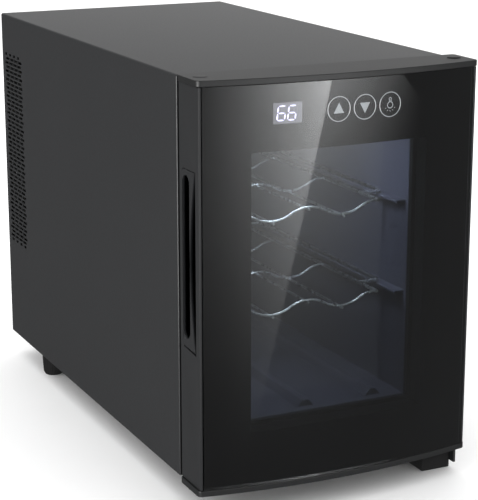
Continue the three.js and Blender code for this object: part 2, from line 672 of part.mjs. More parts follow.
// Upper bracket: a plate on the front frame and a round-ended tongue that reaches into the door.
function upperBracket() {
  const plate = block([HINGE_X - PLATE_X[0], HINGE_X + PLATE_X[1]], [-GAP - BRACKET_T, -GAP],
    [PLATE_LOW, TONGUE_Z]);
  const reach = block([HINGE_X - TONGUE_W / 2, HINGE_X + TONGUE_W / 2],
    [AXIS_Y, -GAP - BRACKET_T / 2], [TONGUE_Z - BRACKET_T, TONGUE_Z]);
  const end = rodZ(TONGUE_W / 2, TONGUE_Z - BRACKET_T, TONGUE_Z).translate(HINGE_X, AXIS_Y, 0);
  const hole = rodZ(PIN_R + GAP, TONGUE_Z - 2 * BRACKET_T, TONGUE_Z + OVERCUT)
    .translate(HINGE_X, AXIS_Y, 0);
  return cut(join(plate, reach, end), hole, ...plateScrewHoles());
}

// Lower bracket: joggled strip under cabinet and door, with one edge folded down.
const LOWER_TOP = -DOOR_DROP - STRIP_GAP; // strip top under the door
const STRIP_FRONT = AXIS_Y - STRIP_REACH;
const STEP_Y = AXIS_Y + CORNER_SWING + GAP; // joggle, clear of the door's swinging corner

function lowerBracket() {
  const low = LOWER_TOP - BRACKET_T;
  const side = outline([
    [STRIP_BACK, -GAP], [STEP_Y + 3, -GAP], [STEP_Y, LOWER_TOP], [STRIP_FRONT, LOWER_TOP],
    [STRIP_FRONT, low], [STEP_Y + 2, low], [STEP_Y + 5, -GAP - BRACKET_T],
    [STRIP_BACK, -GAP - BRACKET_T],
  ]);
  const strip = prismX(side, BLOCK_RIGHT - BLOCK_W, BLOCK_RIGHT + BRACKET_T);
  const fold = block([BLOCK_RIGHT, BLOCK_RIGHT + BRACKET_T], [STRIP_FRONT, BLOCK_BACK],
    [low - FLANGE_DROP, low + BRACKET_T / 2]);
  const hole = rodZ(PIN_R + GAP, low - OVERCUT, LOWER_TOP + OVERCUT)
    .translate(HINGE_X, AXIS_Y, 0);
  return cut(join(strip, fold), hole, ...baseScrewHoles());
}

// Headed pin; the head is at the bottom.
function hingePin(headH, length) {
  return join(rodZ(PIN_R + 2, 0, headH), rodZ(PIN_R, headH - 0.5, headH + length));
}

// Tapered round foot, turned; the ribs are left to the finish.
function roundFoot() {
  const profile = [[0, 0], [FOOT_BASE_R, 0], [FOOT_LOW_R, 3], [FOOT_TOP_R, FOOT_H - GAP],
    [0, FOOT_H - GAP]].map(([r, z]) => new THREE.Vector2(r, z));
  return new THREE.LatheGeometry(profile, 32).rotateX(Math.PI / 2);
}

// Square foot that stands under the lower bracket, at the right-hand front corner.
function hingeFoot() {
  const top = LOWER_TOP - BRACKET_T - GAP;
  const x = [BLOCK_RIGHT - BLOCK_W, BLOCK_RIGHT - GAP];
  const body = block(x, [-BLOCK_FRONT, BLOCK_BACK], [-FOOT_H, top]);
  const headRoom = rodZ(PIN_R + 3, top - 3, top + OVERCUT, 20).translate(HINGE_X, AXIS_Y, 0);
  return cut(body, headRoom);
}

const PIN_L = BRACKET_T + 2 * GAP + PIN_REACH;

place(cabinet, 'upper_hinge_bracket', upperBracket(), zinc);
place(cabinet, 'lower_hinge_bracket', lowerBracket(), powderCoat);
place(cabinet, 'upper_hinge_pin', hingePin(PIN_HEAD, PIN_L), zinc,
  HINGE_X, AXIS_Y, TONGUE_Z - BRACKET_T - GAP - PIN_HEAD);
place(cabinet, 'lower_hinge_pin', hingePin(PIN_HEAD, PIN_L), zinc,
  HINGE_X, AXIS_Y, LOWER_TOP - BRACKET_T - GAP - PIN_HEAD);
place(cabinet, 'hinge_foot', hingeFoot(), footRubber);
place(cabinet, 'front_left_foot', roundFoot(), footRubber,
  FRONT_FOOT_SIDE - CABINET_W / 2, FRONT_FOOT_Y, -FOOT_H);
place(cabinet, 'rear_left_foot', roundFoot(), footRubber,
  FOOT_SIDE - CABINET_W / 2, CABINET_D - REAR_FOOT_FROM_BACK, -FOOT_H);
place(cabinet, 'rear_right_foot', roundFoot(), footRubber,
  CABINET_W / 2 - FOOT_SIDE, CABINET_D - REAR_FOOT_FROM_BACK, -FOOT_H);

// ---------------------------------------------------------------- door

// Depth of the bowed front below the door's back plane, at a given x.
function frontY(x) {
  return -DOOR_T - (Math.sqrt(ARC_R ** 2 - x ** 2) - Math.sqrt(ARC_R ** 2 - RAIL_HALF ** 2));
}

// Points along the bow from x0 to x1, moved back by inset.
function bow(x0, x1, inset, steps) {
  return Array.from({ length: steps + 1 }, (_, i) => {
    const x = x0 + ((x1 - x0) * i) / steps;
    return [x, frontY(x) + inset];
  });
}

// End cap: bowed front, rounded corners, a bush bore at each end and room for the plug above it.
function endCap(holeInset) {
  const out = DOOR_W / 2;
  const r = CAP_CORNER;
  const shape = new THREE.Shape();
  shape.moveTo(-out + r, 0);
  shape.lineTo(out - r, 0);
  shape.absarc(out - r, -r, r, Math.PI / 2, 0, true);
  shape.lineTo(out, -DOOR_T + r);
  shape.quadraticCurveTo(out, frontY(out - r) - CAP_PROUD, out - 2 * r,
    frontY(out - 2 * r) - CAP_PROUD);
  bow(out - 3 * r, 3 * r - out, -CAP_PROUD, 22).forEach(([x, y]) => shape.lineTo(x, y));
  shape.lineTo(2 * r - out, frontY(out - 2 * r) - CAP_PROUD);
  shape.quadraticCurveTo(-out, frontY(out - r) - CAP_PROUD, -out, -DOOR_T + r);
  shape.lineTo(-out, -r);
  shape.absarc(r - out, -r, r, Math.PI, Math.PI / 2, true);
  const bores = [-1, 1].flatMap((side) => [
    rodZ(BUSH_R + GAP, -OVERCUT, CAP_T + OVERCUT).translate(side * HINGE_X, HINGE_Y, 0),
    rodZ(PLUG_R + GAP, CAP_T - holeInset, CAP_T + OVERCUT).translate(side * HINGE_X, HINGE_Y, 0),
  ]);
  return cut(prismZ(shape, 0, CAP_T, 4), ...bores);
}

// Left rail in plan: a box with a thin lip in front that hides the glass edge.
function railOutline() {
  const inner = RAIL_HALF - RAIL_W;
  const lip = RAIL_HALF - RAIL_LIP;
  return outline([
    [-RAIL_HALF, 0], [-RAIL_HALF, frontY(RAIL_HALF)], [-lip, frontY(lip)],
    ...bow(-lip, -inner, GLASS_T + GAP, 4), [-inner, 0],
  ]);
}

// Handle recess seen from the side (y, z): straight back and front, pointed at the bottom.
function handleOutline(frontLine) {
  return outline([
    [-HANDLE_BACK, SLOT_BOTTOM - 8], [-HANDLE_BACK, HANDLE_TOP - 2], [-HANDLE_BACK - 2, HANDLE_TOP],
    ...frontLine,
  ]);
}

// The grip's front edge: bowed away from the door's front by GRIP_SAG at mid height.
function gripLine(setBack, steps = 10) {
  return Array.from({ length: steps + 1 }, (_, i) => {
    const t = i / steps;
    const sag = GRIP_SAG * 4 * t * (1 - t);
    return [-HANDLE_FRONT + sag + setBack, HANDLE_TOP + (HANDLE_BOTTOM - HANDLE_TOP) * t];
  });
}

function leftRail() {
  const rail = prismZ(railOutline(), CAP_T + GAP, DOOR_H - CAP_T - GAP);
  const recess = prismX(handleOutline([[-HANDLE_FRONT, HANDLE_TOP], [-HANDLE_FRONT, HANDLE_BOTTOM]]),
    -RAIL_HALF - OVERCUT, -RAIL_HALF + HANDLE_DEPTH);
  return cut(rail, recess);
}

// Handle insert: fills the back of the recess; a round-ended finger slot leaves a bowed grip bar.
function handleInsert() {
  const front = gripLine(1).map(([y, z], i, all) => {
    if (i === 0) return [y, z - GAP];
    if (i === all.length - 1) return [y, z + 2];
    return [y, z];
  });
  const body = prismX(outline([
    [-HANDLE_BACK - GAP, SLOT_BOTTOM - 7], [-HANDLE_BACK - GAP, HANDLE_TOP - 2 - GAP],
    [-HANDLE_BACK - 2 - GAP, HANDLE_TOP - GAP], ...front,
  ]), -RAIL_HALF, -RAIL_HALF + HANDLE_DEPTH - GAP);
  const r = SLOT_W / 2;
  const back = -HANDLE_BACK - 1;
  const slot = new THREE.Shape();
  slot.moveTo(back, SLOT_BOTTOM + r);
  slot.absarc(back - r, SLOT_BOTTOM + r, r, 0, -Math.PI, true);
  slot.lineTo(back - 2 * r, SLOT_TOP - r);
  slot.absarc(back - r, SLOT_TOP - r, r, Math.PI, 0, true);
  return cut(body, prismX(slot, -RAIL_HALF - OVERCUT, -RAIL_HALF + SLOT_DEPTH, 5));
}

// Right rail: mirror of the left one, notched at the top so that the hinge tongue can swing.
function rightRail() {
  const mirrored = outline(railOutline().getPoints().map((p) => [-p.x, p.y]).reverse());
  const top = DOOR_H - CAP_T - GAP;
  const rail = prismZ(mirrored, CAP_T + GAP, top);
  const swing = block([HINGE_X - TONGUE_W / 2 - 2, RAIL_HALF + OVERCUT],
    [HINGE_Y - TONGUE_W - 3.5, OVERCUT], [top - NOTCH_H, top + OVERCUT]);
  const inboard = block([RAIL_HALF - RAIL_W - OVERCUT, HINGE_X], [HINGE_Y - 8, OVERCUT],
    [top - NOTCH_H, top + OVERCUT]);
  const pinRoom = rodZ(BUSH_R + GAP, -1, 12).translate(HINGE_X, HINGE_Y, 0);
  return cut(rail, swing, inboard, pinRoom);
}

function outerGlass() {
  const half = RAIL_HALF - RAIL_LIP - GLASS_GROOVE;
  const band = outline([...bow(-half, half, 0, 28), ...bow(half, -half, GLASS_T, 28)]);
  return prismZ(band, CAP_T + GAP, DOOR_H - CAP_T - GAP);
}

const FRAME_HALF = RAIL_HALF - RAIL_W - GAP;

// Inner door frame: ring with a rebate for the inner pane and four posts for the control board.
function doorInnerFrame() {
  const zOut = [CAP_T + GAP, DOOR_H - CAP_T - GAP];
  const ring = ringY(FRAME_HALF, zOut, WINDOW_HALF, [WINDOW_Z, WINDOW_TOP], -INNER_FRAME_T, 0);
  const lap = INNER_GLASS_LAP + GAP;
  const rebate = block([-WINDOW_HALF - lap, WINDOW_HALF + lap],
    [-INNER_GLASS_T - INNER_GLASS_SET - GAP, OVERCUT], [WINDOW_Z - lap, WINDOW_TOP + lap]);
  const rise = BOARD_H / 2 - BOARD_POST_INSET;
  const posts = [BOARD_X[0] + BOARD_POST_INSET, BOARD_X[1] - BOARD_POST_INSET].flatMap((x) =>
    [-rise, rise].map((z) => rodY(BOARD_POST_R, BOARD_Y + BOARD_T + GAP, 1 - INNER_FRAME_T, 10)
      .translate(x, 0, BOARD_Z + z)));
  return join(cut(ring, rebate), ...posts);
}

function controlBoard() {
  const chips = [block([-30, -20], [BOARD_T - 0.5, BOARD_T + 2], [-5, 5]),
    block([28, 34], [BOARD_T - 0.5, BOARD_T + 1.5], [-3, 3])];
  return join(block(BOARD_X, [0, BOARD_T], [-BOARD_H / 2, BOARD_H / 2]), ...chips);
}

function displayModule() {
  const depth = BOARD_Y - GAP - (frontY(Math.abs(DISPLAY_X) + DISPLAY_W / 2 + 1) + GLASS_T + 1.2);
  return block([-DISPLAY_W / 2, DISPLAY_W / 2], [-depth, 0], [-DISPLAY_H / 2, DISPLAY_H / 2]);
}

function touchPad(x) {
  const reach = BOARD_Y - GAP - (frontY(Math.abs(x) + TOUCH_R) + GLASS_T + 0.8);
  return rodY(TOUCH_R, -reach, 0, 20);
}

function gasket() {
  const inner = CABIN_HALF + GASKET_MARGIN;
  const z0 = FLOOR_WALL + DOOR_DROP;
  const z1 = CABIN_TOP + DOOR_DROP;
  const m = GASKET_MARGIN;
  return ringY(inner + GASKET_W, [z0 - m - GASKET_W, z1 + m + GASKET_W], inner, [z0 - m, z1 + m],
    GAP, DOOR_GAP - GAP);
}

function hingeBush(length) {
  return cut(rodZ(BUSH_R, 0, length), rodZ(BUSH_BORE, -OVERCUT, length + OVERCUT));
}

const PLUG_ROOM = PLUG_T + GAP;
const BUSH_TOP = DOOR_H - PLUG_ROOM - GAP;
const BUSH_LOW = TONGUE_Z + DOOR_DROP + 2 * GAP;

place(door, 'door_bottom_cap', endCap(0), capPlastic);
place(door, 'door_top_cap', endCap(PLUG_ROOM), capPlastic,
  0, 0, DOOR_H - CAP_T);
place(door, 'door_left_rail', leftRail(), railPlastic);
place(door, 'door_right_rail', rightRail(), railPlastic);
place(door, 'handle_insert', handleInsert(), handlePlastic);
place(door, 'outer_glass', outerGlass(), tintedGlass);
place(door, 'door_inner_frame', doorInnerFrame(), railPlastic);
place(door, 'inner_glass', block(
  [-WINDOW_HALF - INNER_GLASS_LAP, WINDOW_HALF + INNER_GLASS_LAP],
  [-INNER_GLASS_T - INNER_GLASS_SET, -INNER_GLASS_SET],
  [WINDOW_Z - INNER_GLASS_LAP, WINDOW_TOP + INNER_GLASS_LAP]), clearGlass);
place(door, 'door_gasket', gasket(), gasketRubber);
place(door, 'control_board', controlBoard(), boardLaminate, 0, BOARD_Y, BOARD_Z);
place(door, 'display_module', displayModule(), displayFace, DISPLAY_X, BOARD_Y - GAP, BOARD_Z);
['up', 'down', 'lamp'].forEach((key, i) =>
  place(door, `touch_pad_${key}`, touchPad(TOUCH_X[i]), touchFoam,
    TOUCH_X[i], BOARD_Y - GAP, BOARD_Z));
place(door, 'hinge_plug', rodZ(PLUG_R, -PLUG_T, 0), fanPlastic, HINGE_X, HINGE_Y, DOOR_H);
place(door, 'spare_hole_plug', rodZ(PLUG_R, -PLUG_T, 0), capPlastic, -HINGE_X, HINGE_Y, DOOR_H);
place(door, 'upper_hinge_bush', hingeBush(BUSH_TOP - BUSH_LOW), acetal,
  HINGE_X, HINGE_Y, BUSH_LOW);
place(door, 'lower_hinge_bush', hingeBush(LOWER_BUSH_H), acetal, HINGE_X, HINGE_Y, GAP);

// ---------------------------------------------------------------- shelves

// Height of the wavy cross wire above its troughs.
function waveZ(x) {
  return (WAVE_H * (1 + Math.cos((2 * Math.PI * x) / WAVE_L))) / 2;
}

class Wave extends THREE.Curve {
  getPoint(t, target = new THREE.Vector3()) {
    const x = (2 * t - 1) * WAVE_L;
    return target.set(x, 0, waveZ(x));
  }
}

// Wire rack: wavy cross wires welded on five long wires, with a runner bracket at each side that
// slides on the cabin's ledges.
function wireShelf() {
  const round = new THREE.Shape().absarc(0, 0, WIRE_R, 0, 2 * Math.PI);
  const pitch = SHELF_D / (CROSS_WIRES - 1);
  const wires = [];
  for (let i = 0; i < CROSS_WIRES; i += 1) {
    wires.push(new THREE.ExtrudeGeometry(round,
      { steps: 24, curveSegments: 3, bevelEnabled: false, extrudePath: new Wave() })
      .translate(0, i * pitch, 0));
  }
  const lap = 2 * WIRE_R; // long wires past the outer cross wires
  const weld = 1.5 * WIRE_R; // cross wire down to the long wire under it
  const runner = [RUNNER_BACK, SHELF_D - RUNNER_BACK];
  wires.push(rodY(WIRE_R, -lap, SHELF_D + lap, 6).translate(0, 0, WAVE_H - weld));
  for (const side of [-1, 1]) {
    wires.push(
      rodY(WIRE_R, -lap, SHELF_D + lap, 6).translate((side * WAVE_L) / 2, 0, -weld),
      rodY(RUNNER_R, -lap, SHELF_D + lap, 8).translate(side * WAVE_L, 0, WAVE_H),
      rodY(RUNNER_R, runner[0] - RUNNER_R, runner[1] + RUNNER_R, 8)
        .translate(side * RUNNER_X, 0, WAVE_H),
      ...runner.map((y) => rodX(WIRE_R, WAVE_L, RUNNER_X, 6)
        .translate(side < 0 ? -WAVE_L - RUNNER_X : 0, y, WAVE_H)));
  }
  return join(...wires);
}

['lower_shelf', 'upper_shelf'].forEach((name, i) =>
  place(cabinet, name, wireShelf(), chrome, 0, SHELF_FRONT, SHELF_Z[i]));

// ---------------------------------------------------------------- screws

// Screw with a pan head and a cross slot; the head faces -Y and the shank runs along +Y.
function screw(length) {
  const arm = SCREW_HEAD_R * 0.6;
  return cut(
    join(rodY(SCREW_HEAD_R, -SCREW_HEAD_H, 0, 16), rodY(SCREW_HEAD_R / 2, -0.4, length, 10)),
    block([-arm, arm], [-SCREW_HEAD_H - 1, -SCREW_HEAD_H / 2], [-0.4, 0.4]),
    block([-0.4, 0.4], [-SCREW_HEAD_H - 1, -SCREW_HEAD_H / 2], [-arm, arm]));
}

COVER_SCREWS.forEach(([x, z], i) => {
  const mesh = place(cabinet, `cover_screw_${i + 1}`, screw(8), zinc,
    x, COVER_Y + COVER_T + GAP, z);
  mesh.rotation.z = Math.PI;
});
PLATE_SCREWS.forEach(([x, z], i) =>
  place(cabinet, `upper_bracket_screw_${i + 1}`, screw(6), zinc, x, -BRACKET_T - 2 * GAP, z));
BASE_SCREWS.forEach(([x, y], i) => {
  const mesh = place(cabinet, `lower_bracket_screw_${i + 1}`, screw(8), zinc,
    x, y, -BRACKET_T - 2 * GAP);
  mesh.rotation.x = Math.PI / 2;
});

export default model;
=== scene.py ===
"""Visible surfaces of a countertop wine cooler, built round its CAD frame."""

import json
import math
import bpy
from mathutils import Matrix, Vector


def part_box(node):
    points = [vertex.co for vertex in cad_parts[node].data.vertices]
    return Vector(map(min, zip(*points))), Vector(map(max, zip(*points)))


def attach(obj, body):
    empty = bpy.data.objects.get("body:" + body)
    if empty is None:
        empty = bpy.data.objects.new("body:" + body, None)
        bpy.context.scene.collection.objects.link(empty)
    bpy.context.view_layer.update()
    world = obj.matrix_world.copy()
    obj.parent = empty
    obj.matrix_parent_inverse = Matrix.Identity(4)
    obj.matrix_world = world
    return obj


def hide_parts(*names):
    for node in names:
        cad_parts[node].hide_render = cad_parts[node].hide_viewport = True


bl_info = {
    "name": "Wine Cooler",
    "version": (1, 0, 0),
    "blender": (4, 5, 0),
    "location": "View3D > Sidebar > Wine Cooler",
    "description": "Builds the visible surfaces of a countertop wine cooler round its CAD frame",
    "category": "Object",
}

import bmesh
import bpy
from bpy.props import FloatProperty, FloatVectorProperty, IntProperty, PointerProperty
from mathutils import Matrix, Vector

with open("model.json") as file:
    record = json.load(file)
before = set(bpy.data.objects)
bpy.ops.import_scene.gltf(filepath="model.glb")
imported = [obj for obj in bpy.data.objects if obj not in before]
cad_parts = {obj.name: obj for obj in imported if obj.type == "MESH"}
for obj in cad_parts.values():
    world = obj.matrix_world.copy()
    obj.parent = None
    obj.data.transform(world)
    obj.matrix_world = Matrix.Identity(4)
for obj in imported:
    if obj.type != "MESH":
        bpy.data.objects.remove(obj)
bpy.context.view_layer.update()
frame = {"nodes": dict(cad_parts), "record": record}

MM = 0.001


def linear(code):
    """Turn an sRGB hex colour into linear red, green, blue and alpha."""
    parts = [((code >> shift) & 255) / 255 for shift in (16, 8, 0)]
    curve = [c / 12.92 if c <= 0.04045 else ((c + 0.055) / 1.055) ** 2.4 for c in parts]
    return (*curve, 1.0)


# ------------------------------------------------------------------ sizes and colours


def size(name, description, millimetres):
    """Length property whose default is given in millimetres."""
    return FloatProperty(
        name=name, description=description, default=millimetres * MM, unit="LENGTH", precision=5
    )


def tint(name, description, code):
    """Colour property whose default is given as an sRGB hex value."""
    return FloatVectorProperty(
        name=name, description=description, default=linear(code), size=4, min=0, max=1,
        subtype="COLOR",
    )


class CabinetLooks(bpy.types.PropertyGroup):
    """Sizes and colours of the steel cabinet and its cabin."""

    bend: size("Bend radius", "Outside radius of the wrap's two long top bends", 1.8)
    sheet: size("Sheet", "Thickness of the folded steel wrap", 1.0)
    hem: size("Hem", "Rounding along the wrap's front edge", 0.45)
    vent_rows: IntProperty(name="Vent rows", description="Rows of slots on each side", default=46)
    vent_pitch: size("Row pitch", "Height from one row of slots to the next", 4.27)
    vent_top: size("Top row", "Height of the top row of slots above the table", 318.7)
    vent_back: size("Vent from back", "Rearmost slot to the cabinet's back edge", 7.5)
    slot_length: size("Slot length", "Length of one vent slot", 11.2)
    end_slot: size("End slot", "Length of the slots in the first and last rows", 7.0)
    slot_height: size("Slot height", "Height of one vent slot", 2.6)
    slot_shift: size("Slot shift", "Odd rows stand this far further forward", 3.0)
    slot_pitch: size("Slot pitch", "One slot to the next along a row", 12.6)
    foot_base: size("Foot base", "Radius of a round foot where it stands", 8.5)
    foot_chamfer: size("Foot chamfer", "Height of the chamfer under a round foot", 3.0)
    rib_depth: size("Rib depth", "Depth of the grooves round a foot", 0.45)
    steel: tint("Steel coat", "Powder coat on the cabinet", 0x2C2D2F)
    liner: tint("Liner", "Vacuum-formed cabin liner", 0x40404C)
    rubber: tint("Rubber", "Feet", 0x141415)


class DoorLooks(bpy.types.PropertyGroup):
    """Sizes and colours of the door."""

    glass: size("Glass", "Thickness of the bent outer glass", 4.0)
    cap_edge: size("Cap edge", "Rounding along the edges of the two end caps", 0.5)
    cap_corner: size("Cap corner", "Radius of the caps' upright corners", 3.5)
    print_left: size("Print left", "Middle of the door to the clear window's left edge", 81.5)
    print_right: size("Print right", "Middle of the door to the clear window's right edge", 75.0)
    print_low: size("Print low", "Lower edge of the clear window above the table", 72.9)
    print_high: size("Print high", "Upper edge of the clear window above the table", 301.8)
    gasket_width: size("Gasket width", "Outer to inner edge of the gasket", 9.0)
    gasket_fold: size("Gasket fold", "Run of one slope of the gasket's folds", 1.1)
    cap: tint("Cap", "Satin end caps", 0x1F2021)
    rail: tint("Rail", "Side rails", 0x27282A)
    # Near black: the frame's own black plastic, darkened further as painted shade in the gap.
    frame: tint("Frame", "Frame of the cabin mouth and inside of the door", 0x0B0B0C)
    handle: tint("Handle", "Grip insert", 0x232426)
    enamel: tint("Enamel", "Black print behind the glass", 0x050506)


class ControlLooks(bpy.types.PropertyGroup):
    """Sizes and colours of the display and the touch legends."""

    ring: size("Ring radius", "Radius of the ring round each touch legend", 9.8)
    ring_line: size("Ring line", "Width of the legend lines", 0.7)
    arrow: size("Arrow", "Height of the up and down arrows", 8.6)
    panel_width: size("Panel width", "Width of the display's pale panel", 24.0)
    panel_height: size("Panel height", "Height of the display's pale panel", 16.5)
    digit_height: size("Digit height", "Height of one digit", 11.0)
    digit_width: size("Digit width", "Width of one digit", 6.2)
    digit_pitch: size("Digit pitch", "One digit to the next", 8.8)
    digit_line: size("Digit line", "Width of one segment", 1.25)
    legend: tint("Legend", "Backlit touch legends", 0xB4B6B8)
    panel: tint("Panel", "Display panel", 0x77757D)
    glow: tint("Glow", "Lit digits", 0xE4DEFF)


class ShelfLooks(bpy.types.PropertyGroup):
    """Sizes and colour of the two wire shelves."""

    wire: size("Wire radius", "Radius of the shelf wire", 1.1)
    runner: size("Runner radius", "Radius of the side wires and the runners", 1.6)
    runner_set: size("Runner set", "Runner's ends in from the outer cross wires", 28.0)
    wave_height: size("Wave height", "Crest to trough of a cross wire", 9.0)
    wave_length: size("Wave length", "Crest to crest of a cross wire", 66.0)
    cross_wires: IntProperty(name="Cross wires", description="Wavy wires in a shelf", default=4)
    chrome: tint("Chrome", "Plated wire", 0xE6E8EA)


class StageLooks(bpy.types.PropertyGroup):
    """Camera, floor and lights."""

    camera: FloatVectorProperty(
        name="Camera", description="Place of the camera", default=(-0.6314, -1.3646, 0.5587),
        subtype="XYZ",
    )
    yaw: FloatProperty(
        name="Yaw", description="Camera turn to the right", default=0.44748, subtype="ANGLE"
    )
    pitch: FloatProperty(
        name="Pitch", description="Camera tilt down", default=0.26100, subtype="ANGLE"
    )
    lens: FloatProperty(name="Lens", description="Focal length in millimetres", default=119.4)
    floor: tint("Floor", "Pale floor", 0xFAFAFA)
    even: FloatProperty(name="Dome", description="Strength of the dome's even light", default=1.42)
    mirrored: FloatProperty(
        name="Mirrored dome", description="Strength of the dome that glossy surfaces mirror",
        default=0.18,
    )


GROUPS = {
    "cooler_cabinet": CabinetLooks,
    "cooler_door": DoorLooks,
    "cooler_controls": ControlLooks,
    "cooler_shelves": ShelfLooks,
    "cooler_stage": StageLooks,
}


# ------------------------------------------------------------------ mesh helpers

BOW_STEPS = 64  # steps of an arc along the whole bow


def verts_of(geometry):
    return [part for part in geometry if isinstance(part, bmesh.types.BMVert)]


def edges_of(geometry):
    return [part for part in geometry if isinstance(part, bmesh.types.BMEdge)]


def added(name, data):
    """New object in the scene."""
    piece = bpy.data.objects.new(name, data)
    bpy.context.scene.collection.objects.link(piece)
    return piece


def mesh_data(name, mesh, material):
    """Turn a bmesh into mesh data with one material."""
    data = bpy.data.meshes.new(name)
    mesh.to_mesh(data)
    mesh.free()
    data.materials.append(material)
    return data


def finished(name, mesh, body, slot, replaces=(), finish=None, smooth=40):
    """Turn a bmesh into a piece that rides on its body; its finish is its slot's unless given."""
    data = mesh_data(name, mesh, finishes[finish or slot])
    data.shade_smooth()
    data.set_sharp_from_angle(angle=math.radians(smooth))
    piece = added(name, data)
    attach(piece, body)
    if replaces:
        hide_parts(*replaces)
    return piece


def outward(mesh):
    """Close open ends, merge doubles and point every face outwards."""
    bmesh.ops.holes_fill(mesh, edges=[e for e in mesh.edges if e.is_boundary], sides=0)
    bmesh.ops.remove_doubles(mesh, verts=mesh.verts, dist=1e-6)
    bmesh.ops.recalc_face_normals(mesh, faces=mesh.faces)


def bevel(mesh, geom, offset, segments, affect="EDGES"):
    """Round edges or corners."""
    bmesh.ops.bevel(
        mesh, geom=geom, offset=offset, segments=segments, profile=0.5, affect=affect,
        clamp_overlap=affect == "EDGES", material=-1,
    )


def soften(mesh, radius, segments=2, sharper=35):
    """Round every edge that turns more than a given angle."""
    edges = [e for e in mesh.edges if e.is_manifold and e.calc_face_angle() > math.radians(sharper)]
    bevel(mesh, edges, radius, segments)


def rounded_copy(node, radius, segments=2):
    """Merged copy of a CAD node with its sharp edges rounded."""
    mesh = bmesh.new()
    mesh.from_mesh(frame["nodes"][node].data)
    bmesh.ops.remove_doubles(mesh, verts=mesh.verts, dist=1e-6)
    bmesh.ops.dissolve_limit(
        mesh, angle_limit=math.radians(0.5), verts=mesh.verts, edges=mesh.edges
    )
    soften(mesh, radius, segments)
    return mesh


def sweep(mesh, edges, step):
    """Extrude edges by a step; returns what has grown."""
    grown = bmesh.ops.extrude_edge_only(mesh, edges=edges)["geom"]
    bmesh.ops.translate(mesh, vec=step, verts=verts_of(grown))
    return grown


def turned(mesh, geom, centre, axis, angle, steps):
    """Sweep geometry round an axis; returns what lies at the end."""
    return bmesh.ops.spin(
        mesh, geom=geom, cent=centre, axis=axis, dvec=(0, 0, 0), angle=angle, steps=steps,
        use_merge=False, use_normal_flip=False, use_duplicate=False,
    )["geom_last"]


def disc(mesh, centre, radius, sides=48):
    """Flat disc in X and Y; returns its face."""
    made = bmesh.ops.create_circle(
        mesh, cap_ends=True, radius=radius, segments=sides, matrix=Matrix.Translation(centre)
    )
    return made["verts"][0].link_faces[0]


def raise_face(mesh, face, step, scale=1.0):
    """Carry one face on by a step and scale it about its middle; returns the moved face."""
    top = bmesh.ops.extrude_discrete_faces(mesh, faces=[face])["faces"][0]
    bmesh.ops.translate(mesh, vec=step, verts=top.verts)
    if scale != 1.0:
        middle = Matrix.Translation(-top.calc_center_median())
        bmesh.ops.scale(mesh, vec=(scale, scale, scale), space=middle, verts=top.verts)
    return top


def bow():
    """Radius of the glass's outer face, and the Y of its axis, from the CAD glass."""
    low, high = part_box("outer_glass")
    depth = high.y - bpy.context.scene.cooler_door.glass - low.y
    radius = (high.x ** 2 + depth ** 2) / (2 * depth)
    return radius, low.y + radius


def bowed_edge(mesh, inset, half, z):
    """Chain of edges along the bow, from the left to the right."""
    radius, axis_y = bow()
    radius -= inset
    first = mesh.verts.new((-half, axis_y - math.sqrt(radius ** 2 - half ** 2), z))
    whole = 2 * math.asin(half / radius)
    turned(mesh, [first], (0, axis_y, z), (0, 0, 1), whole, BOW_STEPS)
    return mesh.edges[:]


def bowed_sheet(inset, half, low_z, high_z):
    """Sheet without thickness that follows the bow."""
    mesh = bmesh.new()
    sweep(mesh, bowed_edge(mesh, inset, half, low_z), (0, 0, high_z - low_z))
    for face in mesh.faces:
        if face.normal.y > 0:
            face.normal_flip()
    return mesh


def score(mesh, faces, point, normal):
    """Cut the given faces along a plane, keeping both sides."""
    edges = {e for f in faces for e in f.edges}
    verts = {v for f in faces for v in f.verts}
    bmesh.ops.bisect_plane(mesh, geom=[*faces, *edges, *verts], plane_co=point, plane_no=normal)


def thicken(mesh, thickness):
    """Give a sheet its thickness, away from the side that its faces show."""
    bmesh.ops.solidify(mesh, geom=mesh.faces[:], thickness=thickness)
    bmesh.ops.recalc_face_normals(mesh, faces=mesh.faces)


def open_window(mesh, low, high):
    """Cut a rectangular aperture, in X and Z, out of a sheet that faces the front."""
    for x in (low[0], high[0]):
        score(mesh, mesh.faces[:], (x, 0, 0), (1, 0, 0))
    for z in (low[1], high[1]):
        score(mesh, mesh.faces[:], (0, 0, z), (0, 0, 1))
    inside = [
        f for f in mesh.faces
        if low[0] < f.calc_center_median().x < high[0]
        and low[1] < f.calc_center_median().z < high[1]
    ]
    bmesh.ops.delete(mesh, geom=inside, context="FACES")


# ------------------------------------------------------------------ finishes


def add_node(tree, kind, inputs=None, **settings):
    """Add a shader node with its settings; an input is a value, or a socket to link from."""
    node = tree.nodes.new(kind)
    for name, value in settings.items():
        setattr(node, name, value)
    for name, value in (inputs or {}).items():
        if isinstance(value, bpy.types.NodeSocket):
            tree.links.new(value, node.inputs[name])
        else:
            node.inputs[name].default_value = value
    return node


def blank(name):
    """New material with an empty tree; returns it, its tree and its Object coordinates."""
    material = bpy.data.materials.new(name)
    material.use_nodes = True
    tree = material.node_tree
    tree.nodes.clear()
    return material, tree, add_node(tree, "ShaderNodeTexCoord").outputs["Object"]


def shaded(material, tree, inputs):
    """Close a material with one Principled shader."""
    surface = add_node(tree, "ShaderNodeBsdfPrincipled", inputs)
    add_node(tree, "ShaderNodeOutputMaterial", {"Surface": surface.outputs["BSDF"]})
    return material


def noise(tree, place, grain, detail):
    """Noise whose features are about one grain, in millimetres, across."""
    inputs = {"Vector": place, "Scale": 1 / (grain * MM), "Detail": detail}
    return add_node(tree, "ShaderNodeTexNoise", inputs).outputs["Fac"]


def spread(tree, value, low, high):
    """Spread a value that runs from 0 to 1 over a range."""
    inputs = {"Value": value, "To Min": low, "To Max": high}
    return add_node(tree, "ShaderNodeMapRange", inputs).outputs["Result"]


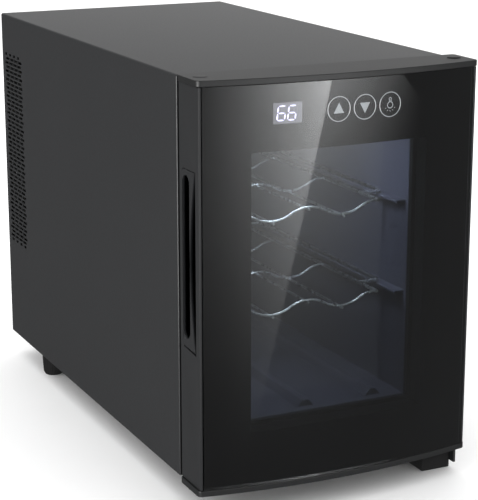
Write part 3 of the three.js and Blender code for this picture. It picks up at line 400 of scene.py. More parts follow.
def worked_out(tree, operation, first, second):
    """Result of a calculation on two values."""
    node = add_node(tree, "ShaderNodeMath", {0: first, 1: second}, operation=operation)
    return node.outputs["Value"]


def shade(tree, colour, value):
    """Colour made lighter or darker by a value."""
    inputs = {"Color": tuple(colour), "Value": value}
    return add_node(tree, "ShaderNodeHueSaturation", inputs).outputs["Color"]


def relief(tree, height, depth, strength=1.0):
    """Bump whose depth is in millimetres."""
    inputs = {"Height": height, "Distance": depth * MM, "Strength": strength}
    return add_node(tree, "ShaderNodeBump", inputs).outputs["Normal"]


GLOSS_SWING = 0.05  # how far a grain moves the roughness each way


def grained(name, colour, roughness, grain, depth, patch=60, shift=0.08, **sockets):
    """Solid-coloured material with a fine texture and broad, faint changes of shade and gloss.

    Grain, depth and patch are in millimetres; shift is how far the shade moves each way.
    """
    material, tree, place = blank(name)
    fine = noise(tree, place, grain, 3.0)
    broad = noise(tree, place, patch, 2.0)
    inputs = {
        "Base Color": shade(tree, colour, spread(tree, broad, 1 - shift, 1 + shift)),
        "Roughness": spread(tree, fine, roughness - GLOSS_SWING, roughness + GLOSS_SWING),
        "Normal": relief(tree, fine, depth),
    }
    inputs.update({key.replace("_", " "): value for key, value in sockets.items()})
    return shaded(material, tree, inputs)


def lit_ink(name, colour, strength, grain):
    """Translucent ink with light behind it, slightly uneven."""
    material, tree, place = blank(name)
    uneven = noise(tree, place, grain, 1.0)
    base = shade(tree, colour, spread(tree, uneven, 0.9, 1.1))
    return shaded(material, tree, {
        "Base Color": base, "Roughness": 0.5, "Emission Color": base, "Emission Strength": strength,
    })


def sheet_glass(name, colour, wave, depth, strength):
    """Glass with a clean mirror at its surface and a shallow wave, in millimetres."""
    material, tree, place = blank(name)
    ripple = noise(tree, place, wave, 0.0)
    return shaded(material, tree, {
        "Base Color": colour, "Roughness": 0.0, "IOR": 1.5, "Transmission Weight": 1.0,
        "Normal": relief(tree, ripple, depth, strength),
    })


def polished_abs():
    # Moulded in a polished tool: sharp highlights on the grip's face. Down in the finger slot the
    # colour fades to black and the specular level drops almost to nothing: painted shade in the
    # recess.
    material, tree, place = blank("polished_moulded_abs")
    across = add_node(tree, "ShaderNodeSeparateXYZ", {"Vector": place}).outputs["X"]
    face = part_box("handle_insert")[0].x
    # Mask that rises from the grip's face into the finger slot, where the painted shade goes.
    inside = add_node(
        tree, "ShaderNodeMapRange",
        {"Value": across, "From Min": face + 0.6 * MM, "From Max": face + 2.5 * MM},
    ).outputs["Result"]
    colour = tuple(bpy.context.scene.cooler_door.handle)
    # Handle colour fading to black down in the slot: painted shade.
    base = add_node(
        tree, "ShaderNodeMixRGB", {"Fac": inside, "Color1": colour, "Color2": (0, 0, 0, 1)}
    ).outputs["Color"]
    # Specular level cut down in the slot, as part of the same painted shade.
    sheen = spread(tree, inside, 0.5, 0.02)
    return shaded(
        material, tree, {"Base Color": base, "Roughness": 0.26, "Specular IOR Level": sheen}
    )


def extruded_aluminium():
    # Extruded fins: fine die lines, about 0.5 mm apart, run along the length.
    material, tree, place = blank("extruded_aluminium")
    across = 1 / (0.5 * MM)
    stretched = add_node(
        tree, "ShaderNodeMapping", {"Vector": place, "Scale": (across, across, 8.0)}
    ).outputs["Vector"]
    lines = add_node(tree, "ShaderNodeTexNoise", {"Vector": stretched, "Scale": 1.0}).outputs["Fac"]
    gloss = spread(tree, lines, 0.28, 0.48)
    return shaded(material, tree, {
        "Base Color": linear(0xC9CCCE), "Metallic": 1.0, "Roughness": gloss,
        "Normal": relief(tree, lines, 0.02, 0.8),
    })


def glass_epoxy():
    # Glass-epoxy laminate under green solder resist: copper tracks show as paler bands.
    material, tree, place = blank("glass_epoxy_laminate")
    tracks = add_node(tree, "ShaderNodeTexBrick", {
        "Vector": place, "Scale": 1 / (4 * MM), "Color1": linear(0x1B5233),
        "Color2": linear(0x236540), "Mortar": linear(0x2F7A4F), "Mortar Size": 0.06,
    }).outputs["Color"]
    return shaded(material, tree, {"Base Color": tracks, "Roughness": 0.35, "Coat Weight": 0.3})


# In these tables a colour is an sRGB hex value, or a property's group and name.
# Material slot -> name, colour, roughness, grain, relief, and what else differs.
GRAINED = {
    # Polyester powder coat, sprayed and baked on steel: a fine orange peel with a soft sheen.
    # The peel is about 0.5 mm across; it is drawn at 1.6 mm so that it shows.
    "powder_coat": (
        "powder_coated_steel", "cooler_cabinet.steel", 0.46, 1.6, 0.05, {"shift": 0.05}
    ),
    # Injection-moulded ABS from a spark-eroded tool: even satin, fine pits.
    "cap_plastic": ("satin_moulded_abs", "cooler_door.cap", 0.47, 0.9, 0.02, {"shift": 0.04}),
    # Injection-moulded ABS, a little coarser, on the rails.
    "frame_plastic": ("textured_moulded_abs", "cooler_door.rail", 0.42, 1.1, 0.03, {"shift": 0.05}),
    # The same plastic in matt black, with its specular cut low: the frames between cabinet and
    # door.
    # Their colour is darkened past the plastic's own black as painted shade, so that the gap reads
    # as a gap.
    "black_frame_gap_shade": (
        "black_moulded_abs", "cooler_door.frame", 0.5, 1.1, 0.03,
        {"shift": 0.05, "Specular_IOR_Level": 0.15},
    ),
    # Vacuum-formed high-impact polystyrene: stretched smooth, with a faint waviness.
    "liner_plastic": (
        "vacuum_formed_polystyrene", "cooler_cabinet.liner", 0.4, 5, 0.06, {"shift": 0.05}
    ),
    # Compression-moulded nitrile rubber: matt, dusty in patches.
    "foot_rubber": (
        "moulded_nitrile_rubber", "cooler_cabinet.rubber", 0.8, 1.2, 0.06, {"shift": 0.2}
    ),
    # Extruded plasticised vinyl: soft and slightly waxy.
    "gasket_rubber": ("extruded_gasket_vinyl", 0x161617, 0.55, 2.5, 0.03, {}),
    # Poured polyurethane: cells of about 1 mm under a cream skin.
    "pu_foam": ("poured_polyurethane_foam", 0xE2D7A6, 0.95, 1.5, 0.4, {"shift": 0.12}),
    # Sintered alumina tiles: chalky white.
    "ceramic": ("sintered_alumina", 0xEDEDE6, 0.6, 1, 0.02, {"shift": 0.03}),
    # Glass-filled PBT: near black with a dull gloss.
    "fan_plastic": ("moulded_glass_filled_polyester", 0x18181A, 0.45, 1, 0.02, {}),
    # Moulded nylon of the mains inlet.
    "socket_plastic": ("moulded_nylon", 0x141415, 0.4, 1.2, 0.02, {}),
    # Carbon-loaded foam between board and glass: open grey cells.
    "touch_foam": ("carbon_loaded_foam", 0x48484A, 0.9, 0.8, 0.2, {"shift": 0.15}),
    # Moulded acetal bushes: milky and slippery.
    "acetal": ("moulded_acetal", 0xE6E4DC, 0.35, 2, 0.01, {"shift": 0.03}),
    # Zinc plating, blue passivated: bright, with cloudy grains about 3 mm across.
    "zinc_steel": ("zinc_plated_steel", 0xC2C6CA, 0.32, 3, 0.01, {"patch": 8, "Metallic": 1.0}),
    # Bright chrome over drawn wire: slightly clouded by its plating ripple.
    "chrome_wire": (
        "chrome_plated_wire", "cooler_shelves.chrome", 0.28, 6, 0.01,
        {"shift": 0.03, "Metallic": 1.0},
    ),
    # Ceramic enamel, screen-printed on the glass and fired: dense black, and fused to the
    # glass, so it has no sheen of its own.
    "enamel": (
        "fired_black_enamel", "cooler_door.enamel", 0.5, 3, 0.002,
        {"shift": 0.1, "Specular_IOR_Level": 0.0},
    ),
}
# Material slot -> name, colour, glow and grain.
LIT = {
    # Translucent grey ink behind the touch legends, lit by the board.
    "legend": ("backlit_legend_ink", "cooler_controls.legend", 0.75, 6),
    # Smoked film over the display: a pale violet grey when lit.
    "display_face": ("smoked_display_film", "cooler_controls.panel", 0.8, 12),
    # Light-emitting segments: cool white with a violet cast.
    "digits": ("lit_display_segments", "cooler_controls.glow", 1.9, 10),
    # Frosted lamp cover over three cool white diodes.
    "diffuser": ("frosted_polycarbonate", 0xEAF1FA, 2.2, 8),
}
# Material slot -> name, colour, wave length, wave depth and strength.
GLASS = {
    # Bent tempered glass, body-tinted grey, with the shallow roller wave of the bending oven.
    "tinted_glass": ("bent_tinted_glass", 0xC9CCCE, 60, 0.01, 0.3),
    # Flat tempered glass with the faint green of its iron.
    "clear_glass": ("flat_clear_glass", 0xEEF3F1, 80, 0.005, 0.2),
}
PATTERNED = {
    "handle_plastic": polished_abs,
    "aluminium": extruded_aluminium,
    "circuit_board": glass_epoxy,
}
finishes = {}


def colour_of(source):
    """Colour from a hex value, or from a property's group and name."""
    if isinstance(source, int):
        return linear(source)
    group, name = source.split(".")
    return getattr(getattr(bpy.context.scene, group), name)


class COOLER_OT_finishes(bpy.types.Operator):
    """Mix every finish and give the CAD nodes that stay their own"""

    bl_idname = "cooler.finishes"
    bl_label = "Finishes"

    def execute(self, context):
        for slot, (name, source, roughness, grain, depth, more) in GRAINED.items():
            finishes[slot] = grained(name, colour_of(source), roughness, grain, depth, **more)
        for table, recipe in ((LIT, lit_ink), (GLASS, sheet_glass)):
            for slot, (name, source, *amounts) in table.items():
                finishes[slot] = recipe(name, colour_of(source), *amounts)
        for slot, recipe in PATTERNED.items():
            finishes[slot] = recipe()
        for part in frame["record"]["subparts"]:
            data = frame["nodes"][part["node"]].data
            data.materials.clear()
            data.materials.append(finishes[part["material_slot"]])
        return {"FINISHED"}


# ------------------------------------------------------------------ cabinet


def vent_slots(looks, row, back):
    """Start and end, along Y, of each slot in one row; odd rows stand a little further forward."""
    shift = looks.slot_shift if row % 2 else 0
    length = looks.slot_length if 0 < row < looks.vent_rows - 1 else looks.end_slot
    ends = [back - shift - i * looks.slot_pitch for i in range(4)]
    return [(end - length, end) for end in ends]


def cut_vents(mesh, looks, front, back):
    """Cut the staggered slots out of both side walls, behind the plane at front."""

    def side_faces(low_z=-1.0, high_z=1.0):
        return [
            f for f in mesh.faces
            if abs(f.normal.x) > 0.9 and f.calc_center_median().y > front
            and low_z < f.calc_center_median().z < high_z
        ]

    for row in range(looks.vent_rows):
        middle = looks.vent_top - row * looks.vent_pitch
        low_z = middle - looks.slot_height / 2
        high_z = middle + looks.slot_height / 2
        for z in (low_z, high_z):
            score(mesh, side_faces(), (0, 0, z), (0, 0, 1))
        slots = vent_slots(looks, row, back)
        for y in (place for slot in slots for place in slot):
            score(mesh, side_faces(low_z, high_z), (0, y, 0), (0, 1, 0))
        holes = [
            f for f in side_faces(low_z, high_z)
            if any(start < f.calc_center_median().y < end for start, end in slots)
        ]
        bmesh.ops.delete(mesh, geom=holes, context="FACES")


def hem(mesh, front, middle):
    """Outer edges of a folded sheet's front rim."""

    def outer(face):
        away = face.calc_center_median() - middle
        return abs(face.normal.y) < 0.1 and face.normal.dot(away) > 0

    rim = [e for e in mesh.edges if all(v.co.y < front + MM / 10 for v in e.verts)]
    return [
        e for e in rim
        if any(outer(f) for f in e.link_faces) and any(f.normal.y < -0.9 for f in e.link_faces)
    ]


class COOLER_OT_steel_wrap(bpy.types.Operator):
    """Fold the steel wrap and punch its rows of vent slots"""

    bl_idname = "cooler.steel_wrap"
    bl_label = "Steel wrap"

    def execute(self, context):
        looks = context.scene.cooler_cabinet
        low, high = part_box("outer_wrap")
        mesh = bmesh.new()
        corners = [
            mesh.verts.new((x, low.y, z))
            for x, z in ((low.x, low.z), (low.x, high.z), (high.x, high.z), (high.x, low.z))
        ]
        for pair in zip(corners, corners[1:]):
            mesh.edges.new(pair)
        bevel(mesh, corners[1:3], looks.bend, 6, affect="VERTICES")
        sweep(mesh, mesh.edges[:], (0, high.y - low.y, 0))
        bmesh.ops.recalc_face_normals(mesh, faces=mesh.faces)
        if next(f for f in mesh.faces if f.calc_center_median().z > high.z - MM).normal.z < 0:
            bmesh.ops.reverse_faces(mesh, faces=mesh.faces)
        vent_end = high.y - looks.vent_back
        vent_start = vent_end - 4 * looks.slot_pitch - looks.slot_length
        score(mesh, mesh.faces[:], (0, vent_start, 0), (0, 1, 0))
        cut_vents(mesh, looks, vent_start, vent_end)
        thicken(mesh, looks.sheet)
        bevel(mesh, hem(mesh, low.y, (low + high) / 2), looks.hem, 1)
        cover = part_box("rear_cover")
        flange = 13 * MM  # width of the two flanges that the rear cover is screwed to
        gap = 0.3 * MM
        shorter = 3 * MM
        lower = 1.4 * MM
        for side in (-1, 1):
            span = Matrix.Diagonal((flange, looks.sheet, high.z - low.z - shorter, 1))
            place = Matrix.Translation((
                side * (high.x - looks.sheet / 2 - flange / 2),
                cover[0].y - gap - looks.sheet / 2,
                (low.z + high.z) / 2 - lower,
            ))
            bmesh.ops.create_cube(mesh, size=1, matrix=place @ span)
        finished("steel_wrap", mesh, "cabinet", "powder_coat", ["outer_wrap"])
        return {"FINISHED"}


FLAT = 20  # degrees: below one step of a two-step rounding, so that flat faces stay flat
# CAD nodes that stay as they are in shape, but for rounded edges: node -> radius in millimetres.
ROUNDED_CABINET = {
    "base_plate": 0.4,
    "rear_cover": 0.35,
    "front_frame": 0.8,
    "inner_liner": 1.2,
    "air_duct": 0.8,
    "power_inlet": 0.4,
    "lamp_cover": 0.5,
    "upper_hinge_bracket": 0.3,
    "lower_hinge_bracket": 0.5,
    "hinge_foot": 1.2,
    "hot_fan_frame": 0.6,
    "cold_fan_frame": 0.5,
}
ROUNDED_DOOR = {
    "door_left_rail": 0.45,
    "door_right_rail": 0.45,
    "handle_insert": 0.5,
    "door_inner_frame": 0.6,
    "inner_glass": 0.4,
}


def middle_of(node):
    """Middle of a CAD node's box."""
    low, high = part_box(node)
    return (low + high) / 2


def slot_of(node):
    return next(p["material_slot"] for p in frame["record"]["subparts"] if p["node"] == node)


def round_nodes(table, body):
    """Replace each CAD node in a table by a copy with rounded edges."""
    for node, radius in table.items():
        slot = slot_of(node)
        # The two frames take the darkened black finish: painted shade in the gap between cabinet
        # and door.
        finish = "black_frame_gap_shade" if node in ("front_frame", "door_inner_frame") else slot
        mesh = rounded_copy(node, radius * MM)
        finished(f"{node}_rounded", mesh, body, slot, [node], finish, FLAT)


class COOLER_OT_cabinet_parts(bpy.types.Operator):
    """Round the edges of the moulded and folded parts of the cabinet"""

    bl_idname = "cooler.cabinet_parts"
    bl_label = "Cabinet parts"

    def execute(self, context):
        round_nodes(ROUNDED_CABINET, "cabinet")
        return {"FINISHED"}


class COOLER_OT_feet(bpy.types.Operator):
    """Turn the three round feet and groove their sides"""

    bl_idname = "cooler.feet"
    bl_label = "Round feet"

    def execute(self, context):
        looks = context.scene.cooler_cabinet
        for node in ("front_left_foot", "rear_left_foot", "rear_right_foot"):
            low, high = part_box(node)
            middle = (low + high) / 2
            top_radius = (high.x - low.x) / 2
            neck_radius = top_radius - 1.2 * MM  # a foot widens this much towards the cabinet
            mesh = bmesh.new()
            face = disc(mesh, (middle.x, middle.y, low.z), looks.foot_base, sides=96)
            neck = raise_face(
                mesh, face, (0, 0, looks.foot_chamfer), neck_radius / looks.foot_base
            )
            neck_ring = neck.verts[:]
            top = raise_face(
                mesh, neck, (0, 0, high.z - low.z - looks.foot_chamfer), top_radius / neck_radius
            )
            axis = Matrix.Translation((-middle.x, -middle.y, 0))
            for ring, radius in ((neck_ring, neck_radius), (top.verts[:], top_radius)):
                groove = 1 - looks.rib_depth / radius
                inner = [v for i, v in enumerate(ring) if i % 4 in (2, 3)]
                bmesh.ops.scale(mesh, vec=(groove, groove, 1), space=axis, verts=inner)
            outward(mesh)
            finished(f"{node}_ribbed", mesh, "cabinet", "foot_rubber", [node])
        return {"FINISHED"}


# ------------------------------------------------------------------ door


def cap_plate(looks, node):
    """Bowed end cap as a closed plate, from the CAD cap's box."""
    low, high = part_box(node)
    radius, axis_y = bow()
    proud = axis_y - radius - low.y
    half = high.x
    mesh = bmesh.new()
    chain = bowed_edge(mesh, -proud, half, low.z)
    grown = bmesh.ops.extrude_edge_only(mesh, edges=chain)["geom"]
    back = Matrix.Translation((0, -high.y, 0))
    bmesh.ops.scale(mesh, vec=(1, 0, 1), space=back, verts=verts_of(grown))
    raised = bmesh.ops.extrude_face_region(mesh, geom=mesh.faces[:])["geom"]
    bmesh.ops.translate(mesh, vec=(0, 0, high.z - low.z), verts=verts_of(raised))
    outward(mesh)
    upright = [
        e for e in mesh.edges
        if abs(e.verts[0].co.z - e.verts[1].co.z) > MM and abs(e.verts[0].co.x) > half - MM / 10
    ]
    bevel(mesh, upright, looks.cap_corner, 6)
    return mesh


class COOLER_OT_end_caps(bpy.types.Operator):
    """Mould the two end caps of the door and the plugs in the top one"""

    bl_idname = "cooler.end_caps"
    bl_label = "End caps"

    def execute(self, context):
        looks = context.scene.cooler_door
        for node in ("door_top_cap", "door_bottom_cap"):
            mesh = cap_plate(looks, node)
            bmesh.ops.dissolve_limit(
                mesh, angle_limit=math.radians(0.05), verts=mesh.verts, edges=mesh.edges
            )
            soften(mesh, looks.cap_edge, 2, sharper=60)
            finished(f"{node}_moulded", mesh, "door", "cap_plastic", [node], smooth=FLAT)
        self.plug("hinge_plug", "fan_plastic", 0.9)
        self.plug("spare_hole_plug", "cap_plastic", 0.25)
        return {"FINISHED"}

    def plug(self, node, slot, crown):
        """Button with a domed top, raised crown millimetres above the cap."""
        low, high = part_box(node)
        middle = (low + high) / 2
        radius = (high.x - low.x) / 2
        mesh = bmesh.new()
        face = disc(mesh, (middle.x, middle.y, low.z), radius)
        face = raise_face(mesh, face, (0, 0, high.z - low.z + 0.1 * MM))
        for scale, share in ((0.96, 0.4), (0.9, 0.3), (0.7, 0.3)):
            face = raise_face(mesh, face, (0, 0, share * crown * MM), scale)
        outward(mesh)
        finished(f"{node}_domed", mesh, "door", slot, [node])


class COOLER_OT_door_parts(bpy.types.Operator):
    """Round the edges of the rails, the grip, the inner frame and the inner glass"""

    bl_idname = "cooler.door_parts"
    bl_label = "Door parts"

    def execute(self, context):
        round_nodes(ROUNDED_DOOR, "door")
        return {"FINISHED"}


class COOLER_OT_bent_glass(bpy.types.Operator):
    """Bend the outer glass and print its black border behind it"""

    bl_idname = "cooler.bent_glass"
    bl_label = "Bent glass"

    def execute(self, context):
        looks = context.scene.cooler_door
        controls = context.scene.cooler_controls
        low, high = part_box("outer_glass")
        pane = bowed_sheet(0, high.x, low.z, high.z)
        thicken(pane, looks.glass)
        finished("bent_glass", pane, "door", "tinted_glass", ["outer_glass"])
        gap = 0.16 * MM  # clears the legends in front of the print
        edge = 1.5 * MM  # bare margin at each side of the glass
        ink = bowed_sheet(looks.glass + gap, high.x - edge, low.z, high.z)
        open_window(
            ink, (-looks.print_left, looks.print_low), (looks.print_right, looks.print_high)
        )
        middle = middle_of("display_module")
        half_w = controls.panel_width / 2
        half_h = controls.panel_height / 2
        open_window(
            ink, (middle.x - half_w, middle.z - half_h), (middle.x + half_w, middle.z + half_h)
        )
        thicken(ink, 0.06 * MM)
        finished("black_print", ink, "door", "frame_plastic", finish="enamel")
        return {"FINISHED"}


def on_glass(x, z, behind):
    """Matrix that sets a flat shape, drawn in X and Y, upright behind the glass at x and z."""
    looks = bpy.context.scene.cooler_door
    radius, axis_y = bow()
    turn = math.asin(x / radius)
    reach = radius - looks.glass - behind
    spot = Matrix.Translation((reach * math.sin(turn), axis_y - reach * math.cos(turn), z))
    return spot @ Matrix.Rotation(turn, 4, "Z") @ Matrix.Rotation(math.pi / 2, 4, "X")


def flat_ring(mesh, radius, line, centre=(0, 0), sides=48):
    """Flat ring in X and Y."""
    spot = Matrix.Translation((*centre, 0))
    outer = bmesh.ops.create_circle(mesh, radius=radius + line / 2, segments=sides, matrix=spot)
    inner = bmesh.ops.create_circle(mesh, radius=radius - line / 2, segments=sides, matrix=spot)
    edges = {e for v in outer["verts"] + inner["verts"] for e in v.link_edges}
    bmesh.ops.bridge_loops(mesh, edges=list(edges))


class COOLER_OT_controls(bpy.types.Operator):
    """Print the touch legends and light the display behind the glass"""

    bl_idname = "cooler.controls"
    bl_label = "Controls"

    def execute(self, context):
        looks = context.scene.cooler_controls
        for node, draw in (
            ("touch_pad_up", self.arrow_up),
            ("touch_pad_down", self.arrow_down),
            ("touch_pad_lamp", self.bulb),
        ):
            mesh = bmesh.new()
            flat_ring(mesh, looks.ring, looks.ring_line, sides=64)
            draw(mesh, looks)
            self.lay(mesh, node.replace("touch_pad", "legend"), middle_of(node), "legend", 0.06)
        middle = middle_of("display_module")
        panel = bmesh.new()
        bmesh.ops.create_grid(
            panel, x_segments=1, y_segments=1, size=0.5,
            matrix=Matrix.Diagonal((looks.panel_width, looks.panel_height, 1, 1)),
        )
        self.lay(panel, "display_panel", middle, "display_face", 0.5)
        digits = bmesh.new()
        for place in (-1, 1):
            self.six(digits, looks, place * looks.digit_pitch / 2 - 1.2 * MM)
        self.lay(digits, "display_digits", middle, "digits", 0.06)
        return {"FINISHED"}

    def lay(self, mesh, name, middle, finish, behind):
        """Thicken a flat drawing and set it upright behind the glass."""
        for face in mesh.faces:
            if face.normal.z < 0:
                face.normal_flip()
        thicken(mesh, 0.08 * MM)
        bmesh.ops.transform(
            mesh, matrix=on_glass(middle.x, middle.z, behind * MM), verts=mesh.verts
        )
        finished(name, mesh, "door", "display_face", finish=finish)

    def arrow_up(self, mesh, looks, way=1):
        corners = bmesh.ops.create_circle(
            mesh, cap_ends=True, radius=looks.arrow * 0.62, segments=3,
            matrix=Matrix.Diagonal((1.0, 1.05 * way, 1, 1)),
        )["verts"]
        bmesh.ops.translate(mesh, vec=(0, -0.6 * MM * way, 0), verts=corners)

    def arrow_down(self, mesh, looks):
        self.arrow_up(mesh, looks, way=-1)

    def bulb(self, mesh, looks):
        """Hanging bulb: cap, neck, globe and five rays below it."""
        line = looks.ring_line
        flat_ring(mesh, 2.5 * MM, line, (0, -0.4 * MM), 32)
        flat_ring(mesh, 1.1 * MM, line * 0.8, (0, 4.4 * MM), 20)
        for x in (-0.95, 0.95):
            self.stroke(mesh, (x * MM, 1.9 * MM), (x * MM * 0.9, 3.6 * MM), line * 0.8)
        for degrees in (-60, -30, 0, 30, 60):
            way = Vector((math.sin(math.radians(degrees)), -math.cos(math.radians(degrees))))
            start = way * 4.2 * MM + Vector((0, -0.4 * MM))
            self.stroke(mesh, start, start + way * 1.3 * MM, line * 0.8)

    def stroke(self, mesh, start, end, line):
        """Straight line of a drawing, as a flat six-sided bar."""
        start, end = Vector(start), Vector(end)
        along = end - start
        turn = Matrix.Rotation(math.atan2(along.y, along.x), 4, "Z")
        spot = Matrix.Translation((*((start + end) / 2), 0))
        stretch = Matrix.Diagonal((along.length / 2, line / 2 / math.sin(math.radians(60)), 1, 1))
        bmesh.ops.create_circle(
            mesh, cap_ends=True, radius=1, segments=6, matrix=spot @ turn @ stretch
        )

    def six(self, mesh, looks, x):
        """Digit six on a seven-segment display, leaning a little to the right."""
        half = looks.digit_width / 2
        tall = looks.digit_height / 2
        lean = math.tan(math.radians(7))
        trim = 0.25 * MM
        strokes = [
            ((-half, tall), (half, tall)), ((-half, 0), (half, 0)), ((-half, -tall), (half, -tall)),
            ((-half, 0), (-half, tall)), ((-half, -tall), (-half, 0)), ((half, -tall), (half, 0)),
        ]
        for start, end in strokes:
            start, end = Vector(start), Vector(end)
            inset = (end - start).normalized() * trim
            ends = [Vector((x + p.x + p.y * lean, p.y)) for p in (start + inset, end - inset)]
            self.stroke(mesh, *ends, looks.digit_line)


class COOLER_OT_gasket(bpy.types.Operator):
    """Extrude the magnetic gasket: a foot on the door, two folds and a flat face"""

    bl_idname = "cooler.gasket"
    bl_label = "Door gasket"

    def execute(self, context):
        looks = context.scene.cooler_door
        low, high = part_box("door_gasket")
        depth = high.y - low.y
        fold = looks.gasket_fold
        mesh = bmesh.new()
        middle = Matrix.Translation((0, low.y, (low.z + high.z) / 2))
        span = Matrix.Diagonal((high.x - low.x, high.z - low.z, 1, 1))
        upright = Matrix.Rotation(-math.pi / 2, 4, "X")
        bmesh.ops.create_grid(
            mesh, x_segments=1, y_segments=1, size=0.5, matrix=middle @ upright @ span
        )
        face = mesh.faces[:][0]
        # Section across the ring: run inwards, and rise towards the cabinet.
        face_run = looks.gasket_width - 4 * fold
        section = [
            (fold, 0.5 * depth), (fold, -0.2 * depth), (fold / 2, 0.7 * depth), (face_run, 0.0),
            (fold / 2, -0.7 * depth), (fold, 0.2 * depth),
        ]
        for run, rise in section:
            bmesh.ops.inset_region(mesh, faces=[face], thickness=run, depth=rise,
                use_even_offset=True, use_boundary=True)
        for vert in face.verts:
            vert.co.y = low.y + 0.5 * depth
        bmesh.ops.delete(mesh, geom=[face], context="FACES_ONLY")
        rims = [e for e in mesh.edges if e.is_boundary]
        inner = [e for e in rims if abs(e.verts[0].co.y - low.y) > 0.1 * MM]
        sweep(mesh, inner, (0, -0.5 * depth, 0))
        bmesh.ops.bridge_loops(mesh, edges=[e for e in mesh.edges if e.is_boundary])
        outward(mesh)
        soften(mesh, 0.25 * MM, 2)
        finished("gasket_folds", mesh, "door", "gasket_rubber", ["door_gasket"])
        return {"FINISHED"}


# ------------------------------------------------------------------ shelves

WIRE_SIDES = 14


def wire_end(mesh, radius, place, axis):
    """Start a wire with an open ring turned about an axis; returns its edges."""
    spot = Matrix.Translation(place) @ Matrix.Rotation(math.pi / 2, 4, axis)
    ring = bmesh.ops.create_circle(mesh, radius=radius, segments=WIRE_SIDES, matrix=spot)["verts"]
    return list({e for v in ring for e in v.link_edges})


def straight(mesh, ring, way, run):
    """Carry a wire's open end straight on."""
    grown = sweep(mesh, ring, tuple(Vector(way) * run))
    fresh = set(verts_of(grown))
    return [e for e in edges_of(grown) if e.verts[0] in fresh and e.verts[1] in fresh]


def bend(mesh, ring, centre, angle, steps=8, axis=(0, -1, 0)):
    """Carry a wire's open end round a bend about an axis."""
    return edges_of(turned(mesh, ring, centre, axis, angle, steps))


class COOLER_OT_shelves(bpy.types.Operator):
    """Bend and weld the wires of both shelves"""

    bl_idname = "cooler.shelves"
    bl_label = "Wire shelves"

    def execute(self, context):
        looks = context.scene.cooler_shelves
        for node in ("lower_shelf", "upper_shelf"):
            low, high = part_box(node)
            mesh = bmesh.new()
            trough = low.z + looks.wire * 2.5
            crest = trough + looks.wave_height
            weld = looks.wire * 1.5
            lap = looks.wire * 2
            front = low.y + lap
            back = high.y - lap
            for i in range(looks.cross_wires):
                y = front + (back - front) * i / (looks.cross_wires - 1)
                self.wave(mesh, looks, y, crest)
            for x, radius, z in (
                (-looks.wave_length, looks.runner, crest),
                (looks.wave_length, looks.runner, crest),
                (-looks.wave_length / 2, looks.wire, trough - weld),
                (looks.wave_length / 2, looks.wire, trough - weld),
                (0, looks.wire, crest - weld),
            ):
                edges = wire_end(mesh, radius, (x, low.y, z), "X")
                straight(mesh, edges, (0, 1, 0), high.y - low.y)
            for side in (-1, 1):
                self.runner(
                    mesh, looks, side, high.x - looks.runner, crest,
                    (front + looks.runner_set, back - looks.runner_set),
                )
            outward(mesh)
            finished(f"{node}_wires", mesh, node, "chrome_wire", [node])
        return {"FINISHED"}

    def wave(self, mesh, looks, y, crest):
        """Cross wire: arcs up and down between the two side wires."""
        quarter = looks.wave_length / 4
        rise = looks.wave_height / 2
        radius = (quarter ** 2 + rise ** 2) / (2 * rise)
        angle = math.asin(quarter / radius)
        edges = wire_end(mesh, looks.wire, (-looks.wave_length, y, crest), "Y")
        trough = crest - looks.wave_height
        edges = bend(mesh, edges, (-looks.wave_length, y, crest - radius), -angle)
        for place in (-0.5, 0.5):
            middle = place * looks.wave_length
            edges = bend(mesh, edges, (middle, y, trough + radius), 2 * angle, 16)
            if place < 0:
                edges = bend(mesh, edges, (0, y, crest - radius), -2 * angle, 16)
        bend(mesh, edges, (looks.wave_length, y, crest - radius), -angle)

    def runner(self, mesh, looks, side, x, z, ends):
        """Bracket bent from one wire: out from the side wire, along the ledge and back in."""
        corner = 3 * looks.runner
        start = side * looks.wave_length
        edges = wire_end(mesh, looks.runner, (start, ends[0], z), "Y")
        reach = x - looks.wave_length - corner
        edges = straight(mesh, edges, (side, 0, 0), reach)
        inner = side * (x - corner)
        edges = bend(mesh, edges, (inner, ends[0] + corner, z), side * math.pi / 2, axis=(0, 0, 1))
        edges = straight(mesh, edges, (0, 1, 0), ends[1] - ends[0] - 2 * corner)
        edges = bend(mesh, edges, (inner, ends[1] - corner, z), side * math.pi / 2, axis=(0, 0, 1))
        straight(mesh, edges, (-side, 0, 0), reach)


# ------------------------------------------------------------------ stage


def aim(place, target):
    """Matrix that sets a lamp at a place, shining at a target."""
    turn = (Vector(target) - Vector(place)).to_track_quat("-Z", "Y")
    return Matrix.Translation(place) @ turn.to_matrix().to_4x4()


def softbox(name, matrix, width, height, watts, colour=(1, 1, 1)):
    """Rectangular lamp that the camera doesn't see."""
    data = bpy.data.lights.new(name, "AREA")
    data.shape = "RECTANGLE"
    data.size = width
    data.size_y = height
    data.energy = watts
    data.color = colour
    lamp = added(name, data)
    lamp.matrix_world = matrix
    lamp.visible_camera = False
    return lamp


